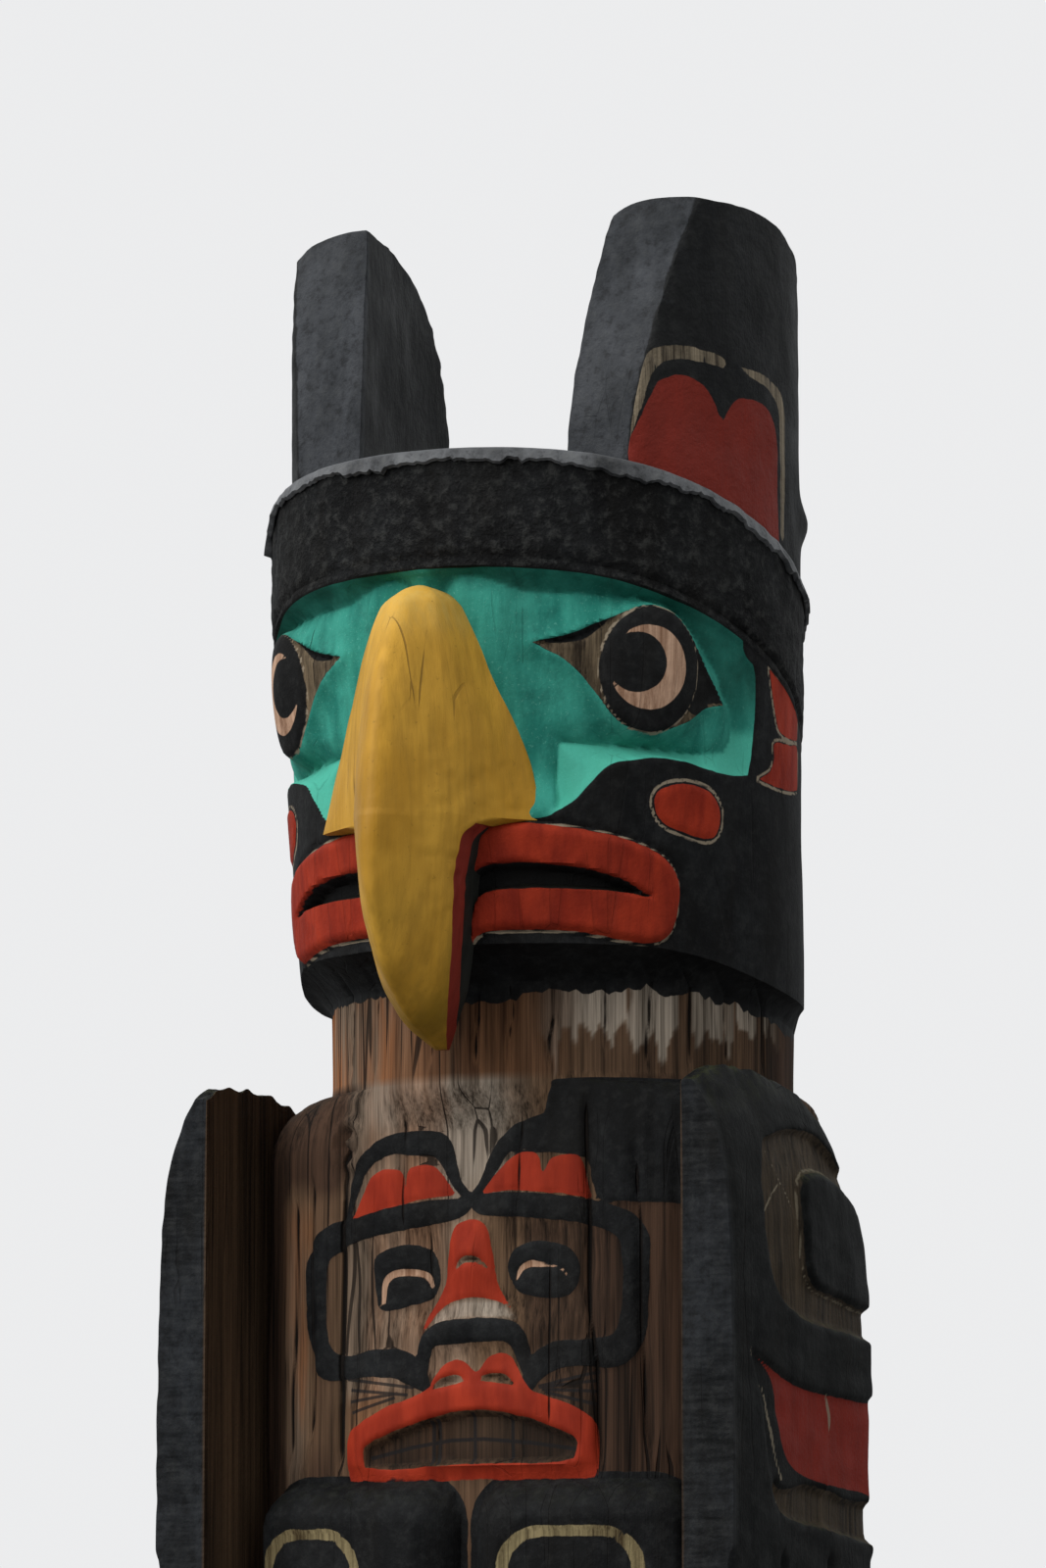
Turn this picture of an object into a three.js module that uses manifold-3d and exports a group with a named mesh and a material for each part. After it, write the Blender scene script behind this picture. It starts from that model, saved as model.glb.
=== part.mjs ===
// Carved cedar totem pole: a thunderbird with an added beak, horns and wings, on a low drum of the same log.
// Millimetres, +Z up. The figure faces -Y, and the origin is the centre of the flat foot on the log's axis.
import * as THREE from 'three';
import { mergeVertices } from 'three/addons/utils/BufferGeometryUtils.js';
import Module from 'manifold-3d';

const wasm = await Module();
wasm.setup();

// Driving dimensions.
const logR = 400;
const backR = 372;
const headR = 378;
const headForward = 80;
const neckR = 328;
const chestForward = 297;
const chestSquareness = 3.3;
const flankX = 361.7;
const drumR = 440;
const drumTop = 180;
const chestStep = 1418;
const shoulderTop = 1405;
const shoulderBottom = 1305;
const crownZ = 2262;
const crownSlope = 0.36;
const bandZ = 2105;
const bandSlope = 0.44;
const jawZ = 1583;
const jawTaper = 46;
const browSink = 24;
const gap = 0.3;
const thigh = { x: 166, top: 857, bottom: 530, half: 152, corner: 55, depth: 52 };
const shank = { x: 180, z: 430, half: 80, rise: 150, corner: 30, depth: 26 };
const foot = { x: 180, z: 215, half: 135, rise: 85, corner: 60, depth: 40, claw: 22, clawPitch: 90 };
const eye = { turn: 51, z: 1962, half: 84, rise: 92, proud: 5, bulge: 9 };
const socket = { toward: 25, above: 6, half: 205, rise: 120, depth: 26 };
const slit = { turn: 54, middle: 1674, corner: 1650, half: 20, depth: 26 };
const lips = { turn: 58, z: 1665, rise: 77, corner: 50, depth: 9 };
const capThickness = 6;
const capLip = 9;
const capSkirt = 20;
const hornTop = 2646;
const hornHeel = 2225;
const wingFront = 390;
const wingBack = -60;
const wingPeak = 1412;
const wingTip = 420;
const feathers = 3;
const aboveHead = 2330;

// Column angles, in degrees from the front toward +X: fine over the face and coarse behind.
const fineStep = 4.5;
const coarseStep = 15;
const fineLimit = 90;

const rad = THREE.MathUtils.degToRad;
const lerp = THREE.MathUtils.lerp;
const clamp = THREE.MathUtils.clamp;

// Goes smoothly from 0 at a to 1 at b, whichever of the two is larger.
function ease(a, b, x) {
  const t = clamp((x - a) / (b - a), 0, 1);
  return t * t * (3 - 2 * t);
}

// Distance outside an ellipse, negative inside, true near its edge.
function ellipseGap(u, v, ru, rv) {
  return (Math.hypot(u / ru, v / rv) - 1) * Math.min(ru, rv);
}

// Distance outside a rectangle with round corners, negative inside.
function boxGap(u, v, halfU, halfV, corner) {
  const du = Math.abs(u) - halfU + corner;
  const dv = Math.abs(v) - halfV + corner;
  return Math.hypot(Math.max(du, 0), Math.max(dv, 0)) + Math.min(Math.max(du, dv), 0) - corner;
}

// The crown is level in front and falls away to the back. f is the distance forward of the head's axis.
function crownDrop(f, slope) {
  const behind = (0.8 * headR - f) / 60;
  return slope * 60 * Math.log(1 + Math.exp(behind));
}

function crownAt(f) {
  return crownZ + 4 - crownDrop(f, crownSlope);
}

function bandLow(deg) {
  return bandZ + 4 - crownDrop(headR * Math.cos(rad(deg)), bandSlope);
}

function jawOut(deg) {
  return jawZ - 55 * ease(50, 115, Math.abs(deg));
}

function jawIn(deg) {
  return jawOut(deg) - lerp(42, 30, ease(60, 110, Math.abs(deg)));
}

// The face: each part gives how far it stands in or out from the plain round head.
function eyeGap(deg, z) {
  return ellipseGap(headR * rad(Math.abs(deg) - eye.turn), z - eye.z, eye.half, eye.rise);
}

function socketRelief(deg, z) {
  const u = headR * rad(Math.abs(deg) - eye.turn) + socket.toward;
  const away = ellipseGap(u, z - eye.z - socket.above, socket.half, socket.rise);
  return -socket.depth * ease(18, -45, away);
}

function browRelief(deg, z) {
  const inside = ease(80, 76, Math.abs(deg)) * ease(1815, 1860, z);
  return -browSink * ease(0, 38, bandLow(deg) - z) * inside;
}

function eyeRelief(ball) {
  return eye.proud + eye.bulge * Math.sqrt(clamp(-ball / eye.half, 0, 1));
}

function mouthRelief(deg, z) {
  const a = Math.abs(deg);
  const middle = lerp(slit.middle, slit.corner, ease(10, slit.turn, a));
  const half = slit.half * Math.sqrt(clamp(1 - (a / slit.turn) ** 4, 0, 1));
  const within = ease(8, -6, Math.abs(z - middle) - half) * ease(slit.turn + 2, slit.turn - 4, a);
  const away = boxGap(headR * rad(a), z - lips.z, headR * rad(lips.turn), lips.rise, lips.corner);
  return lips.depth * ease(10, -8, away) - slit.depth * within;
}

function headRadius(deg, z) {
  const below = bandLow(deg) - z;
  if (below <= 0) return headR;
  const facing = ease(118, 60, Math.abs(deg));
  const taper = jawTaper * clamp(below / (bandZ - jawZ), 0, 1) * facing;
  const ball = eyeGap(deg, z);
  const around = browRelief(deg, z) + socketRelief(deg, z) * facing;
  const face = lerp(around, eyeRelief(ball), ease(10, -12, ball));
  return headR - 4 - taper + face + mouthRelief(deg, z);
}

function neckRadius() {
  return neckR;
}

// The body is squared in front to a flat chest and round behind, with flanks hewn flat for the wings.
function bodyRadius(deg, z) {
  const s = Math.abs(Math.sin(rad(deg)));
  const c = Math.cos(rad(deg));
  const front = ((s / logR) ** chestSquareness + (Math.max(c, 0) / chestForward) ** chestSquareness);
  const whole = c > 0 ? front ** (-1 / chestSquareness) : lerp(logR, backR, ease(0, -0.4, c));
  const rise = clamp((z - shoulderBottom) / (shoulderTop - shoulderBottom), 0, 1);
  const round = lerp(neckR, whole, Math.sqrt(1 - rise * rise));
  const shoulder = whole > neckR ? round : lerp(whole, neckR, ease(0.3, 1, rise));
  const carved = shoulder + legRelief(shoulder * s, z) * ease(-0.1, 0.35, c);
  return Math.min(carved, flankX / Math.max(s, 0.01));
}

// Thighs, shanks and three-clawed feet, x being the distance from the middle.
function legRelief(x, z) {
  const thighMiddle = (thigh.top + thigh.bottom) / 2;
  const thighRise = (thigh.top - thigh.bottom) / 2;
  const thighGap = boxGap(x - thigh.x, z - thighMiddle, thigh.half, thighRise, thigh.corner);
  const shankGap = boxGap(x - shank.x, z - shank.z, shank.half, shank.rise, shank.corner);
  const footGap = boxGap(x - foot.x, z - foot.z, foot.half, foot.rise, foot.corner);
  const claw = 0.5 + 0.5 * Math.cos((x - foot.x) / foot.clawPitch * 2 * Math.PI);
  const high = thigh.depth * Math.sqrt(clamp(-thighGap / 40, 0, 1));
  const mid = shank.depth * ease(0, -25, shankGap);
  const low = (foot.depth + foot.claw * claw) * ease(0, -45, footGap);
  return Math.max(high, mid, low);
}

function drumRadius() {
  return drumR;
}

function columnAngles() {
  const angles = [];
  for (let deg = -fineLimit; deg <= fineLimit; deg += fineStep) angles.push(deg);
  for (let deg = fineLimit + coarseStep; deg < 360 - fineLimit; deg += coarseStep) angles.push(deg);
  return angles;
}

// Each stretch of the log runs from one line to the next, with its own rows, axis and radius.
function ring(angles, height, forward, radius) {
  return angles.map((deg) => {
    const wrapped = deg > 180 ? deg - 360 : deg;
    const z = height(wrapped);
    const r = radius(wrapped, z);
    return [r * Math.sin(rad(deg)), -forward - r * Math.cos(rad(deg)), z];
  });
}

function stretch(angles, from, to, rows, forward, radius) {
  const rings = [];
  for (let row = 0; row <= rows; row += 1) {
    const height = (deg) => lerp(from(deg), to(deg), row / rows);
    rings.push(ring(angles, height, forward, radius));
  }
  return rings;
}

// Joins rings of equal count, bottom to top, and closes both ends with fans.
function loft(rings) {
  const count = rings[0].length;
  const points = rings.flat();
  const faces = [];
  for (let row = 0; row + 1 < rings.length; row += 1) {
    for (let i = 0; i < count; i += 1) {
      const a = row * count + i;
      const b = row * count + (i + 1) % count;
      faces.push(a, b, b + count, a, b + count, a + count);
    }
  }
  for (const [row, flip] of [[0, true], [rings.length - 1, false]]) {
    const middle = [0, 1, 2].map((axis) => rings[row].reduce((sum, p) => sum + p[axis], 0) / count);
    const hub = points.push(middle) - 1;
    for (let i = 0; i < count; i += 1) {
      const a = row * count + i;
      const b = row * count + (i + 1) % count;
      faces.push(...(flip ? [b, a, hub] : [a, b, hub]));
    }
  }
  const geometry = new THREE.BufferGeometry();
  geometry.setAttribute('position', new THREE.Float32BufferAttribute(points.flat(), 3));
  geometry.setIndex(faces);
  return toSolid(geometry);
}

function toSolid(geometry) {
  geometry.deleteAttribute('normal');
  geometry.deleteAttribute('uv');
  const merged = mergeVertices(geometry);
  return new wasm.Manifold(new wasm.Mesh({
    numProp: 3,
    vertProperties: new Float32Array(merged.attributes.position.array),
    triVerts: new Uint32Array(merged.index.array),
  }));
}

function toMesh(name, solid, colour, roughness) {
  const { vertProperties, triVerts } = solid.getMesh();
  const geometry = new THREE.BufferGeometry();
  geometry.setAttribute('position', new THREE.BufferAttribute(vertProperties, 3));
  geometry.setIndex(new THREE.BufferAttribute(triVerts, 1));
  const material = new THREE.MeshStandardMaterial({ color: colour, roughness, metalness: 0 });
  const mesh = new THREE.Mesh(geometry, material);
  mesh.name = name;
  return mesh;
}

// A block under (or over) the crown's surface, raised by lift, as wide as anything on the head.
function crownBlock(lift, otherEnd) {
  const reach = 600;
  const outline = new THREE.Shape();
  outline.moveTo(-reach, otherEnd);
  outline.lineTo(reach, otherEnd);
  for (const f of [reach, 350, 290, 230, 150, 50, -reach]) outline.lineTo(f, crownAt(f) + lift);
  const block = new THREE.ExtrudeGeometry(outline, { depth: 2 * reach, bevelEnabled: false });
  block.translate(0, 0, -reach);
  // The outline's x runs forward from the head's axis and its y runs up.
  const axes = new THREE.Matrix4().makeBasis(
    new THREE.Vector3(0, -1, 0), new THREE.Vector3(0, 0, 1), new THREE.Vector3(-1, 0, 0));
  block.applyMatrix4(axes);
  block.translate(0, -headForward, 0);
  return toSolid(block);
}

function makeLog() {
  const angles = columnAngles();
  const level = (z) => () => z;
  const lipFoot = (deg) => bandLow(deg) - 5;
  const rings = [
    ...stretch(angles, level(0), level(drumTop), 1, 0, drumRadius),
    ...stretch(angles, level(drumTop), level(thigh.top + 15), 17, 0, bodyRadius),
    ...stretch(angles, level(940), level(shoulderBottom), 2, 0, bodyRadius),
    ...stretch(angles, level(1350), level(shoulderTop), 2, 0, bodyRadius),
    ...stretch(angles, level(chestStep), jawIn, 1, 0, neckRadius),
    ...stretch(angles, jawOut, lipFoot, 21, headForward, headRadius),
    ...stretch(angles, bandLow, level(aboveHead), 1, headForward, () => headR),
  ];
  return loft(rings).subtract(crownBlock(0, 3000));
}

// Stations up the beak: height; half width and forward place of the nose's edge, then of the cheek's edge; the
// ridge; the rear; and the half width at which the front stops. The cheeks spread above the upper lip.
const beakStations = [
  [1444, 8, 386, 7, 378, 398, 374, 8],
  [1468, 26, 424, 24, 394, 462, 388, 26],
  [1510, 45, 456, 42, 402, 520, 394, 45],
  [1600, 66, 476, 60, 410, 582, 400, 64],
  [1700, 86, 458, 71, 404, 606, 398, 75],
  [1730, 92, 452, 78, 402, 606, 396, 82],
  [1743, 95, 451, 86, 400, 605, 390, 90],
  [1752, 97, 450, 170, 382, 602, 350, 97],
  [1830, 86, 470, 150, 384, 592, 350, 86],
  [1935, 67, 490, 115, 398, 570, 350, 67],
  [2015, 53, 487, 84, 416, 540, 350, 53],
  [2058, 42, 474, 62, 424, 512, 350, 42],
  [2076, 22, 462, 34, 430, 482, 350, 22],
];

function beakSection(station, grow) {
  const [z, nose, noseFront, cheek, cheekFront, ridge, rear, cut] = station;
  const blunt = lerp(0.22, 0.6, ease(1460, 1750, z));
  const front = (x) => {
    const bend = (Math.hypot(x / nose, blunt) - blunt) / (Math.hypot(1, blunt) - blunt);
    return lerp(ridge, noseFront, bend);
  };
  const half = [];
  for (const share of [0, 0.16, 0.32, 0.5, 0.7, 0.86, 1]) half.push([share * cut, front(share * cut) + grow]);
  half.push([(cut + cheek) / 2, (front(cut) + cheekFront) / 2 + grow]);
  half.push([cheek, cheekFront]);
  half.push([cheek, rear - grow]);
  const grown = half.map(([x, f]) => [x > 0 ? x + grow : 0, -f, z]);
  const mirrored = grown.slice(1).reverse().map(([x, y]) => [-x, y, z]);
  return [...grown, [0, grow - rear, z], ...mirrored];
}

function makeBeak(grow) {
  const sections = beakStations.map((station) => beakSection(station, grow));
  for (const point of sections[0]) point[2] -= grow;
  for (const point of sections.at(-1)) point[2] += grow;
  return loft(sections);
}

// A horn's plan: a slab with a nearly flat inner face, its outer face on the head's round outline.
function hornInner(t) {
  return [lerp(160, 245, t) + 14 * Math.sin(Math.PI * t), -lerp(325, -126, t)];
}

function hornOuter(t, z) {
  const turn = rad(lerp(46, 129, t));
  const rise = clamp((z - crownZ) / (hornTop - crownZ), 0, 1);
  const heel = 14 * Math.exp(-(((z - hornHeel) / 26) ** 2)) * ease(0.72, 0.9, t);
  const r = headR - 5 - (10 + 14 * rise + 12 * rise * rise) * (1 - t) ** 1.5 + heel;
  return [r * Math.sin(turn), -headForward - r * Math.cos(turn)];
}

function makeHorn(side) {
  const steps = 8;
  const rings = [];
  for (const rise of [-0.8, -0.2, -0.13, -0.07, 0, 0.2, 0.4, 0.58, 0.72, 0.84, 0.92, 0.97, 1]) {
    const climb = Math.max(rise, 0);
    const front = 0.19 * climb ** 1.4;
    const back = (1 - 0.93 * climb ** 4) ** 0.32;
    const z = lerp(crownZ, hornTop, rise);
    const inner = [];
    const outer = [];
    for (let i = 0; i <= steps; i += 1) {
      const t = lerp(front, Math.max(back, front + 0.1), i / steps);
      const [x, y] = hornInner(t);
      inner.push([x + 8 * climb * climb, y, z - 14 * climb * climb * (1 - t)]);
      outer.push([...hornOuter(t + 0.054 * climb * climb * (1 - i / steps), z), z]);
    }
    rings.push([...outer, ...inner.reverse()]);
  }
  const solid = loft(rings).subtract(crownBlock(gap + capThickness + gap, 1900));
  return side > 0 ? solid : solid.mirror([1, 0, 0]);
}

// The roofing cap lies on the crown, and its wavy lip turns down over the rim.
function makeCap() {
  const angles = columnAngles();
  const hem = (deg) => {
    const wave = 5 * Math.sin(rad(deg * 7)) + 4 * Math.sin(rad(deg * 13 + 40));
    return crownAt(headR * Math.cos(rad(deg))) - capSkirt + wave;
  };
  const outer = loft(stretch(angles, hem, () => aboveHead, 1, headForward, () => headR + capLip));
  const inner = loft(stretch(angles, () => 1800, () => aboveHead, 1, headForward, () => headR + gap));
  const core = inner.subtract(crownBlock(gap, 3000));
  return outer.subtract(crownBlock(gap + capThickness, 3000)).subtract(core);
}

function wingTop(f) {
  if (f > 300) return wingPeak - 24 * ((f - 300) / 90) ** 2;
  return wingPeak - 175 * ((300 - f) / 360) ** 3;
}

// Three long feathers end the wing, each with a round tip.
function wingBottom(f) {
  const feather = ((f - wingBack) / (wingFront - wingBack)) * feathers;
  const across = (feather % 1) * 2 - 1;
  return wingTip + 70 * Math.abs(across) ** 3 + 34 * (feathers - feather);
}

// Relief of the outer face: sunk fields round the raised pad and the feather forms.
function wingRelief(f, z) {
  const field = boxGap(f - 100, z - 1185, 260, 132, 90);
  const pad = boxGap(f - 60, z - 1180, 150, 87, 60);
  const upper = Math.min(ease(10, -12, field), ease(-10, 12, pad));
  const step = Math.min(ease(14, -8, Math.abs(z - 818) - 30), ease(340, 300, f));
  const grooves = Math.min(ease(16, 2, Math.abs(((f - wingBack + 75) % 150) - 75)), ease(800, 760, z));
  return -13 * Math.max(upper, step) - 8 * grooves;
}

function wingOuter(f, z) {
  const behind = (wingFront - f) / (wingFront - wingBack);
  const plank = 76 + 12 * Math.sin(0.62 * Math.PI * behind);
  const shoulder = 1 - lerp(0.75, 0.25, behind) * Math.exp(-(wingTop(f) - z) / 80);
  return flankX + gap + plank * shoulder + wingRelief(f, z);
}

function makeWing(side) {
  const across = 15;
  const up = 22;
  const backRows = 3;
  const rings = [];
  for (let i = 0; i <= across; i += 1) {
    const f = lerp(wingBack, wingFront, i / across);
    const low = wingBottom(Math.min(f, wingFront - 0.01));
    const high = wingTop(f);
    const loop = [];
    for (let j = 0; j <= backRows; j += 1) loop.push([flankX + gap, -f, lerp(high, low, j / backRows)]);
    for (let j = 0; j <= up; j += 1) {
      const z = lerp(low, high, j / up);
      loop.push([wingOuter(f, z), -f, z]);
    }
    rings.push(loop);
  }
  const solid = loft(rings);
  return side > 0 ? solid : solid.mirror([1, 0, 0]);
}

const beak = makeBeak(0);
const seat = makeBeak(gap);
const log = makeLog().subtract(seat).subtract(seat.translate([0, 0, -gap]));

const totemPole = new THREE.Group();
totemPole.add(toMesh('log', log, 0x5a4334, 0.85));
totemPole.add(toMesh('beak', beak, 0xb98c2d, 0.5));
totemPole.add(toMesh('crown_cap', makeCap(), 0x2c2d30, 0.6));
for (const [name, side] of [['left', 1], ['right', -1]]) {
  totemPole.add(toMesh(`${name}_horn`, makeHorn(side), 0x222327, 0.6));
  totemPole.add(toMesh(`${name}_wing`, makeWing(side), 0x26272a, 0.65));
}

export default totemPole;
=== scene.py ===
import math

import bpy
import numpy as np
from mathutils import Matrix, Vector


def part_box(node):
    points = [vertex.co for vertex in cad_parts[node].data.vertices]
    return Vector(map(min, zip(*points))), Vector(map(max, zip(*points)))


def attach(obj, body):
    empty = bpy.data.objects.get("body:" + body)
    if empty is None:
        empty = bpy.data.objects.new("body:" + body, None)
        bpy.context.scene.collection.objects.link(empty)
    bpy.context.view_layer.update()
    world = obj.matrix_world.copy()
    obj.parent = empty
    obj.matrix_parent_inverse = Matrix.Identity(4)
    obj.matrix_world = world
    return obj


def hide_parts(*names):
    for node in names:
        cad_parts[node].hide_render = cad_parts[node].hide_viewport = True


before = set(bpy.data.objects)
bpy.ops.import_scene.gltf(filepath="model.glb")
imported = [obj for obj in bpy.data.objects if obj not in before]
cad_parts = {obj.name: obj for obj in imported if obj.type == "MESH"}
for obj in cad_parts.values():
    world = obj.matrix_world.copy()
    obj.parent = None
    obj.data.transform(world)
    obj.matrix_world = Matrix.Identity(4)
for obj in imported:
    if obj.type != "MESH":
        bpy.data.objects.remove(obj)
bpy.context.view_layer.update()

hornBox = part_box("left_horn")
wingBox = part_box("left_wing")
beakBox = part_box("beak")
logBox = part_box("log")


# Small maths shared by every piece; lengths are in metres, angles in degrees.

def mix(a, b, t):
    return a + (b - a) * t


def ease(a, b, x):  # 0 at a to 1 at b, smoothly, whichever is larger
    t = np.clip((x - a) / (b - a), 0, 1)
    return t * t * (3 - 2 * t)


def ramp(a, b, x):
    return np.clip((x - a) / (b - a), 0, 1)


def boxGap(u, v, halfU, halfV, corner):  # distance outside a rectangle with round corners
    du = np.abs(u) - halfU + corner
    dv = np.abs(v) - halfV + corner
    return np.hypot(np.maximum(du, 0), np.maximum(dv, 0)) + np.minimum(np.maximum(du, dv), 0) - corner


def ellipseGap(u, v, ru, rv):
    return (np.hypot(u / ru, v / rv) - 1) * min(ru, rv)


def valueNoise(points, cell, seed):  # smooth random field from -1 to 1, the same each run
    table = np.random.default_rng(seed).random(4096) * 2 - 1
    q = points / np.asarray(cell)
    low = np.floor(q).astype(np.int64)
    f = q - low
    f = f * f * (3 - 2 * f)
    total = 0
    for i in (0, 1):
        for j in (0, 1):
            for k in (0, 1):
                key = (low[..., 0] + i) * 73856093 ^ (low[..., 1] + j) * 19349663 ^ (low[..., 2] + k) * 83492791
                weight = np.abs(1 - i - f[..., 0]) * np.abs(1 - j - f[..., 1]) * np.abs(1 - k - f[..., 2])
                total = total + table[key & 4095] * weight
    return total


def curveThrough(points, closed, steps=6):  # a Catmull-Rom curve; a point given twice makes a corner
    p = np.asarray(points, float)
    n = len(p)
    spans = n if closed else n - 1
    out = []
    for i in range(spans):
        ends = [p[k % n] if closed else p[min(max(k, 0), n - 1)] for k in range(i - 1, i + 3)]
        a, b, c, d = ends
        if np.allclose(b, c):
            continue
        for t in np.arange(steps) / steps:
            out.append(0.5 * (2 * b + (c - a) * t + (2 * a - 5 * b + 4 * c - d) * t * t
                              + (3 * b - a - 3 * c + d) * t ** 3))
    if not closed:
        out.append(p[-1])
    return np.array(out)


farAway = 0.03  # paint distances are cut off here


def cutOff(gap):
    return np.clip(gap, -farAway, farAway)


def segmentGaps(u, v, a, b):
    ab = b - a
    size = np.maximum((ab * ab).sum(1), 1e-12)
    du = u[:, None] - a[None, :, 0]
    dv = v[:, None] - a[None, :, 1]
    t = np.clip((du * ab[:, 0] + dv * ab[:, 1]) / size, 0, 1)
    return np.hypot(du - t * ab[:, 0], dv - t * ab[:, 1]), t


def nearCurve(u, v, line, margin):
    low = line[:, :2].min(0) - margin
    high = line[:, :2].max(0) + margin
    return (u > low[0]) & (u < high[0]) & (v > low[1]) & (v < high[1])


def loopGap(u, v, points):  # signed distance from a closed outline, negative inside
    line = curveThrough(points, True)
    gap = np.full(u.shape, farAway)
    near = nearCurve(u, v, line, farAway)
    pu, pv = u[near], v[near]
    a, b = line, np.roll(line, -1, axis=0)
    dist = segmentGaps(pu, pv, a, b)[0].min(1)
    rising = b[:, 1] - a[:, 1]
    cross = (a[None, :, 1] > pv[:, None]) != (b[None, :, 1] > pv[:, None])
    where = a[:, 0] + (pv[:, None] - a[:, 1]) * (b[:, 0] - a[:, 0]) / np.where(rising == 0, 1, rising)
    inside = (cross & (pu[:, None] < where)).sum(1) % 2 == 1
    gap[near] = cutOff(np.where(inside, -dist, dist))
    return gap


def strokeGap(u, v, points):  # signed distance from a brush line; each point also gives its half width
    line = curveThrough(points, False)
    gap = np.full(u.shape, farAway)
    near = nearCurve(u, v, line, farAway * 1.8)
    a, b = line[:-1], line[1:]
    dist, t = segmentGaps(u[near], v[near], a[:, :2], b[:, :2])
    gap[near] = np.minimum((dist - mix(a[:, 2], b[:, 2], t)).min(1), farAway)
    return gap


def inMetres(points):  # outlines on flat faces are listed in millimetres
    return np.asarray(points, float) / 1000


def onHead(points):  # outlines on the head are listed in degrees round it and millimetres up
    p = np.asarray(points, float)
    out = p / 1000
    out[:, 0] = headShape["radius"] * np.radians(p[:, 0])
    return out


def meshPiece(name, verts, faces, fields, sharp=38):
    mesh = bpy.data.meshes.new(name)
    mesh.from_pydata(verts.tolist(), [], faces)
    mesh.shade_smooth()
    mesh.set_sharp_from_angle(angle=math.radians(sharp))
    for key, values in fields.items():
        attribute = mesh.attributes.new(key, "FLOAT", "POINT")
        attribute.data.foreach_set("value", np.asarray(values, np.float32).ravel())
    mesh.validate()
    piece = bpy.data.objects.new(name, mesh)
    bpy.context.scene.collection.objects.link(piece)
    return piece


def tubeFaces(rows, columns):  # rings bottom to top, each closed by a fan on a last point
    faces = []
    for r in range(rows - 1):
        base = r * columns
        for c in range(columns):
            d = (c + 1) % columns
            faces.append((base + c, base + d, base + columns + d, base + columns + c))
    low, high = rows * columns, rows * columns + 1
    last = (rows - 1) * columns
    for c in range(columns):
        d = (c + 1) % columns
        faces.append((d, c, low))
        faces.append((last + c, last + d, high))
    return faces


def tubePiece(name, rings, fields, sharp=38):
    rows, columns = rings.shape[:2]
    verts = np.vstack([rings.reshape(-1, 3), rings[0].mean(0), rings[-1].mean(0)])
    padded = {}
    for key, values in fields.items():
        flat = np.broadcast_to(values, (rows, columns)).reshape(-1)
        padded[key] = np.concatenate([flat, [flat[0], flat[-1]]])
    return meshPiece(name, verts, tubeFaces(rows, columns), padded, sharp)


def shellGrid(counts):  # every point and face of a box's skin, as whole-number steps along three ways
    corners = []
    for axis in range(3):
        p, q = [k for k in range(3) if k != axis]
        i, j = np.meshgrid(np.arange(counts[p]), np.arange(counts[q]), indexing="ij")
        for end in (0, counts[axis]):
            quad = np.zeros(i.shape + (4, 3), int)
            for c, (di, dj) in enumerate(((0, 0), (1, 0), (1, 1), (0, 1))):
                quad[..., c, p] = i + di
                quad[..., c, q] = j + dj
                quad[..., c, axis] = end
            outward = (end > 0) == (axis != 1)
            corners.append((quad if outward else quad[..., ::-1, :]).reshape(-1, 4, 3))
    everyCorner = np.concatenate(corners)
    steps, index = np.unique(everyCorner.reshape(-1, 3), axis=0, return_inverse=True)
    return steps / np.asarray(counts), index.reshape(-1, 4).tolist()


def vertexNormals(piece):
    normals = np.empty(len(piece.data.vertices) * 3, np.float32)
    piece.data.vertex_normals.foreach_get("vector", normals)
    return normals.reshape(-1, 3)


def readPoints(piece):
    points = np.empty(len(piece.data.vertices) * 3, np.float32)
    piece.data.vertices.foreach_get("co", points)
    return points.reshape(-1, 3).astype(float)


def hew(piece, marks, keep=None):  # tool marks and swelling of the wood, as (cell, depth, seed)
    points = readPoints(piece)
    push = sum(depth * valueNoise(points, cell, seed) for cell, depth, seed in marks)
    if keep is not None:
        push = push * keep(points)
    moved = points + vertexNormals(piece) * push[:, None]
    piece.data.vertices.foreach_set("co", moved.astype(np.float32).ravel())
    piece.data.update()


def soften(piece, rounds, factor=0.5):
    smooth = piece.modifiers.new("worn edges", "SMOOTH")
    smooth.iterations = rounds
    smooth.factor = factor


def paintColour(r, g, b):  # from the 0 to 255 values of a colour card
    return [((c / 255 + 0.055) / 1.055) ** 2.4 if c > 10 else c / 255 / 12.92 for c in (r, g, b)] + [1]


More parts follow.
